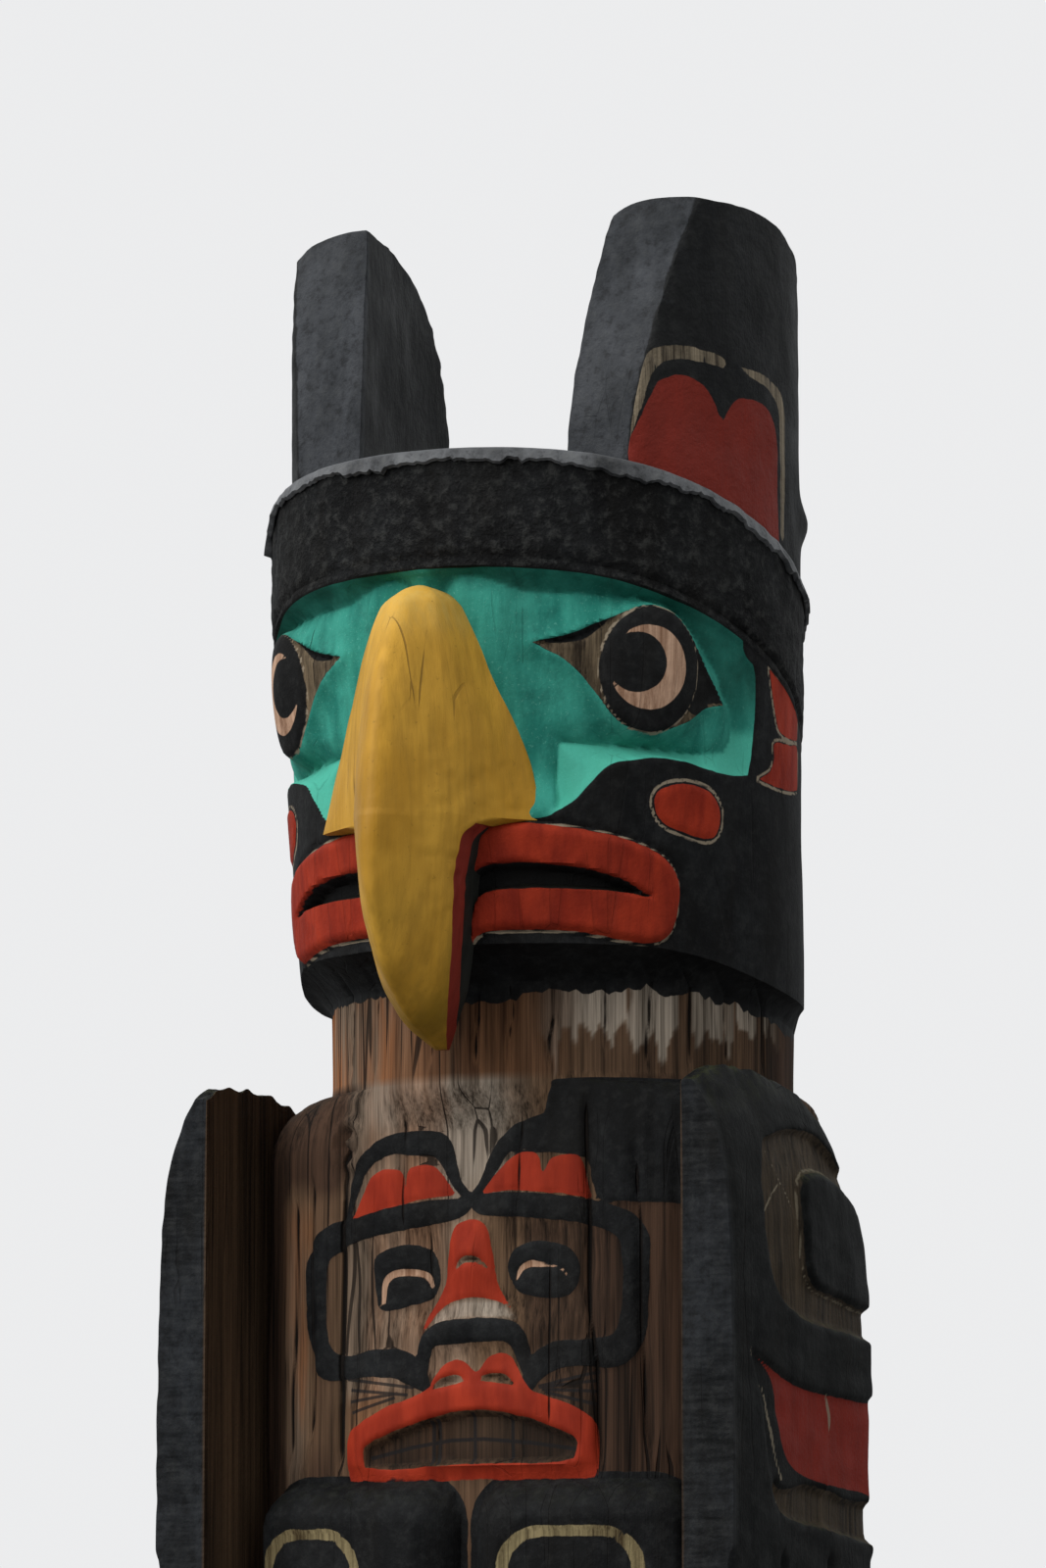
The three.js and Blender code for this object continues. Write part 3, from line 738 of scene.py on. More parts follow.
def chestFields(x, z, front):
    far = np.where(front, -farAway, farAway)
    ink = np.full(x.shape, farAway)
    for line in chestInk:
        ink = np.minimum(ink, strokeGap(x, z, inMetres(line)))
    for patch in (chestDarkPatch, chestEyeLeft, chestEyeRight):
        ink = np.minimum(ink, loopGap(x, z, inMetres(patch)))
    white = np.full(x.shape, farAway)
    for line in chestEyeWhites:
        white = np.minimum(white, strokeGap(x, z, inMetres(line)))
    red = np.full(x.shape, farAway)
    for points in chestRed.values():
        red = np.minimum(red, loopGap(x, z, inMetres(points)))
    hollow = {key: loopGap(x, z, inMetres(points)) for key, points in chestHollows.items()}
    for gap in hollow.values():
        red = np.maximum(red, -gap)
    return {"ink": np.maximum(np.maximum(ink, far), -white), "red": np.maximum(red, far),
            "white": np.maximum(white, far), "bone": np.maximum(loopGap(x, z, inMetres(paleBone)), far),
            "hollow": hollow}


def chestRelief(x, z, field, c):
    hollow = field["hollow"]
    nose = chestDepth["nose"] * ease(0.10, 0.0, np.abs(z - 1.150)) * np.exp(-((x - 0.006) / 0.042) ** 2)
    arch = chestDepth["arch"] * np.exp(-((x - 0.010) / 0.085) ** 2) * np.exp(-((z - 1.066) / 0.034) ** 2)
    muzzle = chestDepth["muzzle"] * ease(0.03, -0.03, boxGap(x, z - 0.93, 0.18, 0.075, 0.06))
    mouth = -chestDepth["mouth"] * ease(0.001, -0.009, hollow["mouth"])
    holes = sum(-chestDepth["holes"] * ease(0.001, -0.005, hollow[key])
                for key in ("nostrilLeft", "nostrilRight", "noseFold"))
    raised = chestDepth["raised"] * ease(0.002, -0.004, np.minimum(field["ink"], field["red"]))
    sockets = -chestDepth["sockets"] * sum(
        np.exp(-((np.hypot((x - across) / 0.085, (z - up) / 0.075)) ** 4))
        for across, up in ((-0.10, 1.14), (0.11, 1.145)))
    return (nose + arch + muzzle + mouth + holes + raised + sockets) * ease(0.35, 0.6, c)


checkLines = [  # long drying checks: across at the low end, low, across at the high end, high, depth, half width
    (0.197, 0.860, 0.170, 1.400, 0.009, 0.0022), (-0.204, 0.860, -0.207, 1.370, 0.010, 0.0030),
    (-0.060, 1.050, -0.062, 1.240, 0.004, 0.0014), (-0.046, 0.870, -0.058, 0.965, 0.003, 0.0012),
    (-0.262, 0.900, -0.255, 1.300, 0.008, 0.0025), (-0.300, 0.870, -0.290, 1.280, 0.006, 0.0020),
    (0.070, 1.190, 0.088, 1.405, 0.003, 0.0012), (-0.105, 1.180, -0.098, 1.400, 0.003, 0.0012),
    (0.262, 0.880, 0.245, 1.330, 0.006, 0.0018), (0.125, 0.900, 0.122, 1.200, 0.003, 0.0010),
]
neckChecks = [  # degrees round the neck, low, high, depth, half width
    (-38, 1.42, 1.56, 0.008, 0.003), (-27, 1.42, 1.55, 0.006, 0.002), (-9, 1.42, 1.53, 0.006, 0.002),
    (4, 1.42, 1.54, 0.008, 0.0025), (13, 1.42, 1.55, 0.006, 0.002), (23, 1.42, 1.56, 0.008, 0.003),
    (35, 1.44, 1.56, 0.006, 0.002), (47, 1.42, 1.56, 0.008, 0.003), (58, 1.42, 1.56, 0.010, 0.004),
    (69, 1.42, 1.55, 0.008, 0.003), (84, 1.42, 1.54, 0.008, 0.003), (-60, 1.42, 1.55, 0.006, 0.003),
    (110, 1.42, 1.54, 0.006, 0.003), (150, 1.42, 1.54, 0.008, 0.003), (-100, 1.42, 1.54, 0.008, 0.003),
]


def columnAngles():
    front = np.arange(-100, 100.01, 0.8)
    side = np.arange(102, 128.01, 2.0)
    back = np.arange(132, 229, 4.0)
    return np.concatenate([front, side, back, 360 - side[::-1]])


def makeLog():
    raw = columnAngles()
    deg = np.where(raw > 180, raw - 360, raw)
    turn = np.radians(deg)
    rows, kinds = [], []

    def stretch(kind, low, high, count, spacing=lambda t: t):
        for t in spacing(np.linspace(0, 1, count + 1)):
            rows.append(mix(low, high, t) + 0 * deg)
            kinds.append(kind)

    lipFoot = bandLow(deg) - 0.003
    stretch("drum", 0.0, bodyShape["drumTop"] - 0.006, 8)
    stretch("drumTop", bodyShape["drumTop"], bodyShape["drumTop"], 2)
    stretch("body", bodyShape["drumTop"] + 0.001, *bodyShape["legRows"])
    chestStart, chestCount = bodyShape["chestRows"]
    stretch("body", chestStart, bodyShape["shoulderBottom"], chestCount)
    stretch("body", bodyShape["shoulderBottom"] + 0.006, bodyShape["shoulderTop"], bodyShape["shoulderRows"],
            lambda t: np.sin(t * np.pi / 2))
    stretch("neck", bodyShape["step"], jawIn(deg), 22)
    stretch("jaw", jawIn(deg), jawOut(deg), 5)
    stretch("head", jawOut(deg) + 0.001, lipFoot, bodyShape["headRows"])
    stretch("band", bandLow(deg), crownAt(headShape["radius"] * np.cos(turn)), 28)
    stretch("crown", 0.0, 0.0, 4)
    z = np.array(rows)
    kinds = np.array(kinds)
    grid = np.broadcast_to(deg, z.shape)
    s, c = np.sin(np.radians(grid)), np.cos(np.radians(grid))

    radius = np.zeros(z.shape)
    forward = np.zeros(z.shape)
    names = ("black", "teal", "red", "bare", "pale", "olive", "wood", "hollow", "crack")
    fields = {key: np.full(z.shape, farAway) for key in names}
    tones = {key: np.zeros(z.shape) for key in ("silver", "warm", "stainAndShade", "band", "underBandShade", "shelfHighlight")}

    drum = kinds == "drum"
    radius[drum] = bodyShape["drumRadius"]
    top = np.flatnonzero(kinds == "drumTop")
    for step, row in enumerate(top):
        radius[row] = mix(bodyShape["drumRadius"] - 0.007, 0.405, step / len(top))

    body = kinds == "body"
    zb, sb, cb = z[body], s[body], c[body]
    outline = bodyOutline(grid[body], zb)
    across = outline * sb
    inFront = cb > 0.25
    chest = chestFields(across.ravel(), zb.ravel(), inFront.ravel())
    shaped = {key: (value.reshape(zb.shape) if key != "hollow" else value) for key, value in chest.items()}
    hollow = {key: value.reshape(zb.shape) for key, value in chest["hollow"].items()}
    shaped["hollow"] = hollow
    legs, leg = legRelief(across, zb)
    relief = legs * ease(-0.1, 0.35, cb) + chestRelief(across, zb, shaped, cb) * ease(0.865, 0.885, zb)
    crack = np.full(zb.shape, farAway)
    for x0, z0, x1, z1, depth, half in checkLines:
        line = mix(x0, x1, (zb - z0) / (z1 - z0)) + 0.004 * valueNoise(
            np.stack([zb * 0, zb * 0 + x0 * 50, zb], -1), (1, 1, 0.11), 71)
        ends = ease(z0, z0 + 0.05, zb) * ease(z1, z1 - 0.05, zb)
        gap = np.abs(across - line) - half * ends + (1 - ends) * 0.004
        gap = np.where(inFront, gap, farAway)
        crack = np.minimum(crack, gap)
        relief = relief - depth * np.exp(-(np.abs(across - line) / 0.0065) ** 2) * ends * ease(0.1, 0.4, cb)
    knot = np.hypot((across + 0.195) / 0.028, (zb - 1.330) / 0.036)
    relief += np.where(inFront, 0.008 * np.exp(-knot ** 2) * np.cos(knot * 7), 0)
    ridges = valueNoise(np.stack([across, 0 * zb, zb * 0.06], -1), (0.011, 1, 0.02), 5)
    weathered = ease(-0.17, -0.24, across) + ease(0.20, 0.30, across)
    relief += 0.0035 * ridges * weathered * ease(0.1, 0.4, cb) * ease(0.87, 0.90, zb)
    flank = bodyShape["flank"] / np.maximum(np.abs(sb), 0.01)
    radius[body] = np.minimum(outline + relief, flank)

    legPaint = np.minimum(leg["thigh"], np.minimum(leg["foot"], leg["shank"]))
    black = np.minimum(shaped["ink"], np.where(cb > -0.1, np.where(zb < 0.885, legPaint - 0.012, farAway), farAway))
    ring = np.maximum(leg["inset"], -leg["inset"] - 0.016)
    olive = np.where((zb < 0.87) & (cb > 0), ring, farAway)
    fields["black"][body] = cutOff(black)
    fields["olive"][body] = cutOff(olive)
    fields["red"][body] = shaped["red"]
    fields["bare"][body] = shaped["white"]
    fields["hollow"][body] = np.where(inFront, np.minimum.reduce(list(hollow.values())), farAway)
    fields["crack"][body] = np.minimum(crack, farAway)
    bone = ease(0.004, -0.004, shaped["bone"])
    brow = ease(1.22, 1.29, zb) * np.exp(-((across - 0.01) / 0.075) ** 4)
    throat = ease(1.33, 1.37, zb) * ease(0.08, 0.02, across) * ease(-0.2, -0.12, across)
    cheek = ease(0.03, -0.03, across) * ease(-0.215, -0.19, across) * ease(0.96, 1.0, zb)
    edge = np.exp(-((across + 0.290) / 0.016) ** 2) * ease(1.28, 1.20, zb)
    tones["silver"][body] = np.clip(bone + 0.85 * brow + 0.5 * throat + 0.35 * cheek + 0.3 * edge, 0, 1)
    strip = np.exp(-((across + 0.282) / 0.026) ** 2) * ease(1.27, 1.20, zb)
    middle = ease(0.02, -0.04, across) * ease(-0.2, -0.18, across)
    tones["warm"][body] = np.clip(0.8 * strip + 0.25 * middle, 0, 1)
    # darker wood: partly real staining, partly painted shade beside the wings and in the carved mouth; it also
    # darkens the right chest, the lower body and the sides
    underWing = ease(0.17, 0.24, across) + ease(-0.295, -0.330, across)
    leftRidge = ease(-0.205, -0.225, across) * ease(-0.27, -0.25, across)
    shoulder = ease(-0.16, -0.22, across) * ease(1.24, 1.30, zb)
    rightChest = ease(0.070, 0.100, across) * ease(1.245, 1.20, zb)
    mouth = ease(0.004, -0.006, hollow["mouth"]) + ease(0.2, -0.1, cb)
    tones["stainAndShade"][body] = np.clip(rightChest * 0.75 + 0.12 + underWing * 0.9 + leftRidge * 0.4 + shoulder
                                  + mouth * 0.5 + ease(0.93, 0.87, zb) * 0.4, 0, 1)
    facing = ease(0.0, 0.3, cb)
    for key, plain in (("silver", 0.15), ("warm", 0.1), ("stainAndShade", 0.45)):
        tones[key][body] = mix(plain, tones[key][body], facing)

    neck = kinds == "neck"
    zn, dn = z[neck], grid[neck]
    dent = np.zeros(zn.shape)
    crackNeck = np.full(zn.shape, farAway)
    for place, low, high, depth, half in neckChecks:
        sway = 1.2 * valueNoise(np.stack([zn * 0, zn * 0 + place, zn], -1), (1, 1, 0.05), 17)
        away = bodyShape["neck"] * np.radians(np.abs(dn - place + sway))
        ends = ease(low - 0.01, low + 0.03, zn) * ease(high + 0.03, high - 0.03, zn)
        crackNeck = np.minimum(crackNeck, away - half * 0.45 * ends + (1 - ends) * 0.004)
        dent += 0.6 * depth * np.exp(-(away / 0.005) ** 2) * ends
    radius[neck] = bodyShape["neck"] - dent
    fields["crack"][neck] = np.minimum(crackNeck, farAway)
    spots = np.stack([dn, zn * 0, zn * 0], -1)
    drip = 0.007 * valueNoise(spots, (6.5, 1, 1), 33) + 0.005 * valueNoise(spots, (1.6, 1, 1), 34)
    # partly black paint, partly painted shade under the jaw: the black runs down the neck below the jaw, furthest
    # at the front
    tinge = 0.012 * ease(8, 25, np.abs(dn)) + 0.030 * ease(25, 6, np.abs(dn))
    fields["black"][neck] = cutOff(jawIn(dn) - tinge + drip - zn)
    flakes = valueNoise(np.stack([dn, zn * 0, zn], -1), (5, 1, 0.12), 31)
    flakes = 0.6 * flakes + 0.9 * valueNoise(np.stack([dn, zn * 0, zn], -1), (1.5, 1, 0.08), 32)
    high = ease(1.42, 1.50, zn)
    flaked = ease(-0.15, 0.10, flakes + 1.6 * high - 1.15)
    leftSide = ease(18, 27, dn) * ease(94, 84, dn)
    tones["silver"][neck] = np.clip(1.1 * leftSide * flaked + 0.3 * ease(0, -30, dn), 0, 1)
    tones["warm"][neck] = np.clip(1.2 * ease(-16, -28, dn) * ease(-66, -54, dn) + 0.35 * ease(36, 10, dn), 0, 1)
    # painted shade on the neck's front under the beak's hook, and darker wood toward both sides
    front = ease(-22, -8, dn) * ease(30, 22, dn)
    tones["stainAndShade"][neck] = np.clip(0.45 * front + 0.55 * ease(22, 36, dn) * (1 - flaked) + ease(84, 96, dn)
                                  + ease(-64, -76, dn) * 0.6, 0, 1)

    head = kinds == "head"
    zh, dh = z[head], grid[head]
    flatField = headFields(dh.ravel(), zh.ravel())
    field = {key: value.reshape(zh.shape) for key, value in flatField.items()}
    radius[head] = headSurface(dh, zh, field)
    forward[head] = headShape["forward"]
    almond = np.maximum(np.maximum(field["eyeAlmond"], -field["ring"]), -field["eyeCorner"])
    lip = np.maximum(field["lips"], -field["slit"])
    cheek = np.minimum(field["cheekSpot"], np.minimum(field["sideUpper"], field["sideLower"]))
    white = np.maximum(field["white"], -field["pupil"])
    fields["teal"][head] = cutOff(np.maximum(field["teal"], -np.minimum(field["eyeAlmond"], field["ring"])))
    fields["red"][head] = cutOff(np.minimum(lip, cheek))
    fields["bare"][head] = cutOff(white)
    bevel = ease(-0.0015, 0.0015, field["crease"]) * ease(18, 28, np.abs(dh) + 20 * (zh > 1.9))
    # painted shade on the teal undercut under the band, and painted light on the teal shelf under the eye
    tones["underBandShade"][head] = bevel * ease(1.88, 1.96, zh)
    tones["shelfHighlight"][head] = bevel * ease(1.90, 1.88, zh) * ease(27, 31, np.abs(dh))
    fields["wood"][head] = cutOff(np.maximum(almond, -field["eyeShade"]))
    fields["black"][head] = -farAway
    rimLine = np.maximum(np.abs(field["ring"] - 0.0005) - 0.0016, -field["ring"] - 0.004)
    lipRim = np.abs(field["lips"] - 0.0022) - 0.0018
    spotRim = np.where(np.abs(dh) < 82, np.abs(field["cheekSpot"] - 0.0055) - 0.0022,
                       np.abs(np.minimum(field["sideUpper"], field["sideLower"]) - 0.0035) - 0.0022)
    fields["pale"][head] = cutOff(np.minimum(rimLine, np.minimum(lipRim, spotRim)))
    hairlines = np.full(zh.shape, farAway)
    for place, low, high in ((22.3, 1.95, 2.062), (37.2, 1.93, 2.058), (28.4, 1.89, 1.96), (53.2, 1.90, 2.02),
                             (78.6, 1.60, 1.80), (-36, 1.95, 2.06), (95, 1.60, 2.0), (66, 1.60, 1.72)):
        away = headShape["radius"] * np.radians(np.abs(dh - place))
        ends = ease(low, low + 0.02, zh) * ease(high, high - 0.02, zh)
        hairlines = np.minimum(hairlines, away + 0.004 * (1 - ends))
    fields["crack"][head] = np.minimum(hairlines, farAway)
    fields["hollow"][head] = cutOff(field["slit"])

    band = kinds == "band"
    radius[band] = bandSurface(grid[band], z[band])
    forward[band] = headShape["forward"]
    fields["black"][band] = -farAway
    tones["band"][band] = 1

    points = np.stack([radius * s, -forward - radius * c, z], -1)
    jawRows = np.flatnonzero(kinds == "jaw")
    before, after = points[jawRows[0] - 1], points[jawRows[-1] + 1]
    for step, row in enumerate(jawRows):
        t = (step + 1) / (len(jawRows) + 1)
        points[row] = mix(before, after, t)
        points[row, :, 2] += 0.006 * math.sin(t * math.pi)
        fields["black"][row] = -farAway
    crownRows = np.flatnonzero(kinds == "crown")
    rim = points[crownRows[0] - 1]
    middle = np.array([0, -headShape["forward"]])
    for step, row in enumerate(crownRows):
        t = 1 - (step + 1) / (len(crownRows) + 1)
        points[row, :, :2] = mix(middle, rim[:, :2], t)
        points[row, :, 2] = crownAt(-headShape["forward"] - points[row, :, 1])
        fields["black"][row] = -farAway

    piece = tubePiece("carvedLog", points, {**fields, **tones}, 50)
    hew(piece, [((0.022, 0.022, 0.055), 0.0009, 3), ((0.09, 0.09, 0.20), 0.0022, 4)])

    def onBand(p):
        around = np.degrees(np.arctan2(p[:, 0], -p[:, 1] - headShape["forward"]))
        return ease(-0.004, 0.006, p[:, 2] - bandLow(around))

    hew(piece, [((0.016, 0.016, 0.014), 0.0016, 6), ((0.045, 0.045, 0.03), 0.0016, 7)], onBand)
    return piece


cedarColours = {  # the darker and the lighter card of each wood and paint
    "brown": ((40, 29, 20), (122, 95, 72)), "grey": ((66, 58, 49), (170, 156, 140)),
    "orange": ((76, 40, 20), (172, 106, 58)), "dark": ((19, 15, 13), (66, 47, 37)),
    "bare": ((122, 88, 66), (196, 160, 134)), "lid": ((40, 32, 24), (118, 102, 80)),
    "olive": ((60, 48, 30), (140, 126, 92)), "teal": ((34, 116, 102), (60, 152, 134)),
    "red": ((128, 36, 20), (158, 50, 28)), "headRed": ((124, 34, 20), (158, 50, 28)),
    "soot": ((12, 12, 13), (28, 29, 30)),
}
cedarStainsAndShades = {
    "hollow": (30, 26, 22), "tealDeep": (26, 84, 76), "tealChalk": (120, 190, 172), "tealUnderBandShade": (20, 74, 64),
    "tealShelfHighlight": (84, 186, 162), "paleEdge": (150, 136, 116), "slitShade": (16, 16, 16), "pencil": (30, 29, 30),
    "split": (20, 16, 14),
}


def makeCedarMaterial():
    material, wire, shader, at = startMaterial("carvedCedarPaint")
    tinge = {key: paintColour(*card) for key, card in cedarStainsAndShades.items()}
    grain = grainOf(wire, at, 1.0, 0.6)
    brown, grey, orange, dark, bareCoat, lidCoat, oliveCoat = (
        wire.between(grain["Streak"], cedarColours[key])
        for key in ("brown", "grey", "orange", "dark", "bare", "lid", "olive"))
    blotch = wire.spots(at, 12, 4, (1, 1, 0.15))
    silver = wire.times(wire.field("silver"), wire.fade(blotch, 0.25, 0.5, 0.4, 1.0))
    wood = wire.blend(silver, brown, grey)
    wood = wire.blend(wire.times(wire.field("warm"), wire.fade(blotch, 0.62, 0.4)), wood, orange)
    # staining and painted shade darken the wood
    wood = wire.blend(wire.times(wire.field("stainAndShade"), 0.9), wood, dark)
    # painted shade: the carved hollows of the chest's mouth, nostrils and nose fold are darkened
    hollow = wire.fade(wire.field("hollow"), 0.002, -0.006)
    wood = wire.blend(wire.times(hollow, 0.5), wood, tinge["hollow"])

    def layer(name, wear, wobble=0.0012):
        return coverOf(wire, at, wire.field(name), wear, wobble)

    brush = wire.fade(wire.spots(at, 30, 4, (1, 1, 0.3)), 0.3, 0.7)
    patch = wire.spots(at, 16, 5, roughness=0.65)
    tealCoat = wire.between(brush, cedarColours["teal"])
    tealCoat = wire.blend(wire.fade(patch, 0.5, 0.75, 0, 0.5), tealCoat, tinge["tealDeep"])
    tealCoat = wire.blend(wire.fade(wire.spots(at, 260, 3, roughness=0.7), 0.58, 0.72, 0, 0.35), tealCoat,
                          tinge["tealChalk"])
    # painted shade darkens the teal under the band; painted light brightens the shelf under the eye
    tealCoat = wire.blend(wire.times(wire.field("underBandShade"), wire.fade(patch, 0.3, 0.6, 0.9, 0.6)), tealCoat,
                          tinge["tealUnderBandShade"])
    tealCoat = wire.blend(wire.times(wire.field("shelfHighlight"), 0.7), tealCoat, tinge["tealShelfHighlight"])
    redCoat = wire.between(brush, cedarColours["red"])
    height = heightOf(wire, at)
    headRed = wire.between(brush, cedarColours["headRed"])
    redCoat = wire.blend(wire.fade(height, 1.42, 1.5), redCoat, headRed)
    bandMask = wire.field("band")
    # the band's black gets more painted sheen on its lumps, with grit dust
    soot = coatOf(wire, at, cedarColours["soot"], wire.fade(bandMask, 0, 1, 0.06, 0.2), 1.0)

    blackCover, redCover, tealCover = layer("black", 0.02), layer("red", 0.0), layer("teal", 0.0, 0.0006)
    colour = wood
    for cover, coat in ((blackCover, soot["Colour"]), (tealCover, tealCoat), (layer("olive", 0.35), oliveCoat),
                        (layer("wood", 0.0, 0.0006), lidCoat), (layer("bare", 0.0, 0.0006), bareCoat),
                        (redCover, redCoat)):
        colour = wire.blend(cover, colour, coat)
    colour = wire.blend(wire.times(layer("pale", 0.55, 0.0008), 0.8), colour, tinge["paleEdge"])
    # painted shade: the head's deep mouth slit is darkened beyond its black paint
    slit = wire.times(hollow, wire.fade(height, 1.42, 1.5))
    colour = wire.blend(slit, colour, tinge["slitShade"])

    flat = wire.add("ShaderNodeSeparateXYZ", {0: at}).outputs
    thinLines = [(a, b, 0.0022) for a, b in chestWhiskers] + [(a, b, 0.0026) for a, b in mouthLines]
    lines = None
    for start, end, half in thinLines:
        (x0, z0), (x1, z1) = inMetres([start, end])
        long = math.hypot(x1 - x0, z1 - z0)
        ux, uz = (x1 - x0) / long, (z1 - z0) / long
        dx = wire.minus(flat[0], x0)
        dz = wire.minus(flat[2], z0)
        along = wire.plus(wire.times(dx, ux), wire.times(dz, uz))
        over = wire.minus(wire.math("ABSOLUTE", wire.minus(along, long / 2)), long / 2)
        side = wire.math("ABSOLUTE", wire.minus(wire.times(dx, uz), wire.times(dz, ux)))
        away = wire.larger(over, side)
        mark = wire.fade(away, half + 0.0006, half - 0.0006)
        lines = mark if lines is None else wire.larger(lines, mark)
    lines = wire.times(lines, wire.math("LESS_THAN", flat[1], -0.1))
    colour = wire.blend(wire.times(lines, 0.85), colour, tinge["pencil"])

    crack = wire.fade(wire.field("crack"), 0.0015, -0.0008)
    paintCover = wire.larger(blackCover, wire.larger(tealCover, redCover))
    split = wire.times(grain["Check"], wire.fade(paintCover, 0.0, 1.0, 0.85, 0.1))
    colour = wire.blend(wire.larger(split, crack), colour, tinge["split"])
    aged = weather(wire, at, colour, 0.22, 0.02)
    roughness = wire.fade(wire.plus(paintCover, wire.times(brush, 0.3)), 0.0, 1.3, 0.88, 0.66)
    dull = wire.plus(roughness, wire.times(aged["Dull"], 0.25), clamp=True)
    relief = wire.plus(wire.times(grain["Height"], wire.fade(paintCover, 0, 1, 1.0, 0.35)),
                       wire.times(wire.plus(paintCover, wire.times(crack, -4)), 0.4))
    tar = wire.times(wire.minus(soot["Height"], 0.6), wire.fade(bandMask, 0, 1, 0.8, 5.0))
    relief = wire.plus(relief, wire.times(tar, blackCover))
    finishSurface(wire, shader, aged["Colour"], dull, relief, 0.0024)
    shader.inputs["Specular IOR Level"].default_value = 0.08
    return material


def dress(piece, node, material):
    piece.data.materials.append(material)
    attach(piece, "root")
    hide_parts(node)


log = makeLog()
dress(log, "log", makeCedarMaterial())
print("log carved", len(log.data.polygons))


beakShape = {
    "zones": (24, 14, 4, 10), "rows": 170, "seam": (1.743, 1.752), "dome": (2.044, 2.077),
    "domeMiddle": 0.450, "lean": 0.015, "redStrip": 0.003, "rearShadeStrip": 0.040,
    # height; half width and forward place of the nose's edge, then of the cheek's edge; the ridge; the rear;
    # and the half width at which the front stops
    "stations": [(1444, 8, 386, 7, 378, 398, 374, 8), (1468, 26, 424, 24, 394, 462, 388, 26),
                 (1510, 45, 456, 42, 402, 520, 394, 45), (1600, 66, 476, 60, 410, 582, 400, 64),
                 (1700, 86, 458, 71, 404, 606, 398, 75), (1730, 92, 452, 78, 402, 606, 396, 82),
                 (1743, 95, 451, 86, 400, 605, 390, 90), (1752, 97, 450, 170, 382, 602, 350, 97),
                 (1830, 86, 470, 150, 384, 592, 350, 86), (1935, 67, 490, 115, 398, 570, 350, 67),
                 (2015, 53, 487, 84, 416, 540, 350, 53), (2058, 42, 474, 62, 424, 512, 350, 42),
                 (2084, 34, 462, 48, 426, 484, 350, 34)],
}


def stationsAt(z):  # smooth between stations, but straight across the seam at the upper lip
    table = np.array(beakShape["stations"], float) / 1000
    heights = table[:, 0]
    tangent = np.gradient(table[:, 1:], heights, axis=0)
    seam = int(np.searchsorted(heights, beakShape["seam"][0] - 1e-6))
    for k, side in ((seam, -1), (seam + 1, 1)):
        tangent[k] = (table[k + side, 1:] - table[k, 1:]) / (heights[k + side] - heights[k])
    out = np.empty((len(z), table.shape[1] - 1))
    for n, height in enumerate(z):
        i = int(np.clip(np.searchsorted(heights, height) - 1, 0, len(heights) - 2))
        length = heights[i + 1] - heights[i]
        t = (height - heights[i]) / length
        a, b = table[i, 1:], table[i + 1, 1:]
        if i == seam:
            out[n] = mix(a, b, t)
            continue
        ta, tb = tangent[i] * length, tangent[i + 1] * length
        leaving = a * (1 + 2 * t) * (1 - t) ** 2 + ta * t * (1 - t) ** 2
        out[n] = leaving + b * t * t * (3 - 2 * t) + tb * t * t * (t - 1)
    return out


def makeBeak():
    low, high = beakBox[0].z, beakShape["dome"][1]
    share = np.linspace(0, 1, beakShape["rows"] + 1)
    z = mix(low, high, share - 0.0056 * np.sin(share * 2 * np.pi))
    z = np.sort(np.concatenate([z, beakShape["seam"]]))
    edge, edgeForward, cheek, cheekForward, ridge, rear, cut = (column[:, None] for column in stationsAt(z).T)
    nose, side, corner, back = (np.linspace(0, 1, count, endpoint=False)[None] for count in beakShape["zones"])
    sharpness = mix(0.22, 0.60, ease(1.46, 1.75, z))[:, None]

    def front(x):
        bulge = (np.hypot(x / edge, sharpness) - sharpness) / (np.hypot(1, sharpness) - sharpness)
        return mix(ridge, edgeForward, bulge)

    across = [nose * cut, mix(cut, cheek, side), cheek + 0 * corner, mix(cheek, 0, back)]
    ahead = [front(nose * cut), mix(front(cut), cheekForward, side), mix(cheekForward, rear, corner),
             rear + 0 * back]
    across, ahead = np.hstack(across), np.hstack(ahead)
    behind = np.where(np.arange(across.shape[1]) < beakShape["zones"][0], 0.2, 1) * (front(cut) - ahead)
    middle = (0 * edge, rear, front(cut) - rear)
    across, ahead, behind = (np.hstack([half, end, sign * half[:, :0:-1]])
                             for half, end, sign in zip((across, ahead, behind), middle, (-1, 1, 1)))
    height = np.broadcast_to(z[:, None], across.shape)
    spread = ease(*beakShape["seam"], height) * ramp(0.9, 1.6, np.abs(across) / cut)
    across = across - beakShape["lean"] * spread
    start, stop = beakShape["dome"]
    shrink = np.sqrt(1 - np.clip((z - start) / (stop - start), 0, 0.985) ** 2)[:, None]
    across, ahead = across * shrink, mix(beakShape["domeMiddle"], ahead, shrink)
    below = ease(1.746, 1.743, height)
    fields = {"rear": np.clip(behind, -0.06, 0.06) * below - (1 - below) * 0.06}
    piece = tubePiece("beakPiece", np.stack([across, -ahead, height], -1), fields, 40)
    hew(piece, [((0.030, 0.030, 0.060), 0.0016, 21), ((0.010, 0.010, 0.022), 0.0004, 22)],
        lambda p: ease(-0.36, -0.40, p[:, 1]))
    hew(piece, [((0.014, 0.014, 0.012), 0.0014, 23)],
        lambda p: ease(0.03, 0.07, p[:, 0]) * ease(1.90, 1.80, p[:, 2]) * ease(1.55, 1.62, p[:, 2]))
    return piece


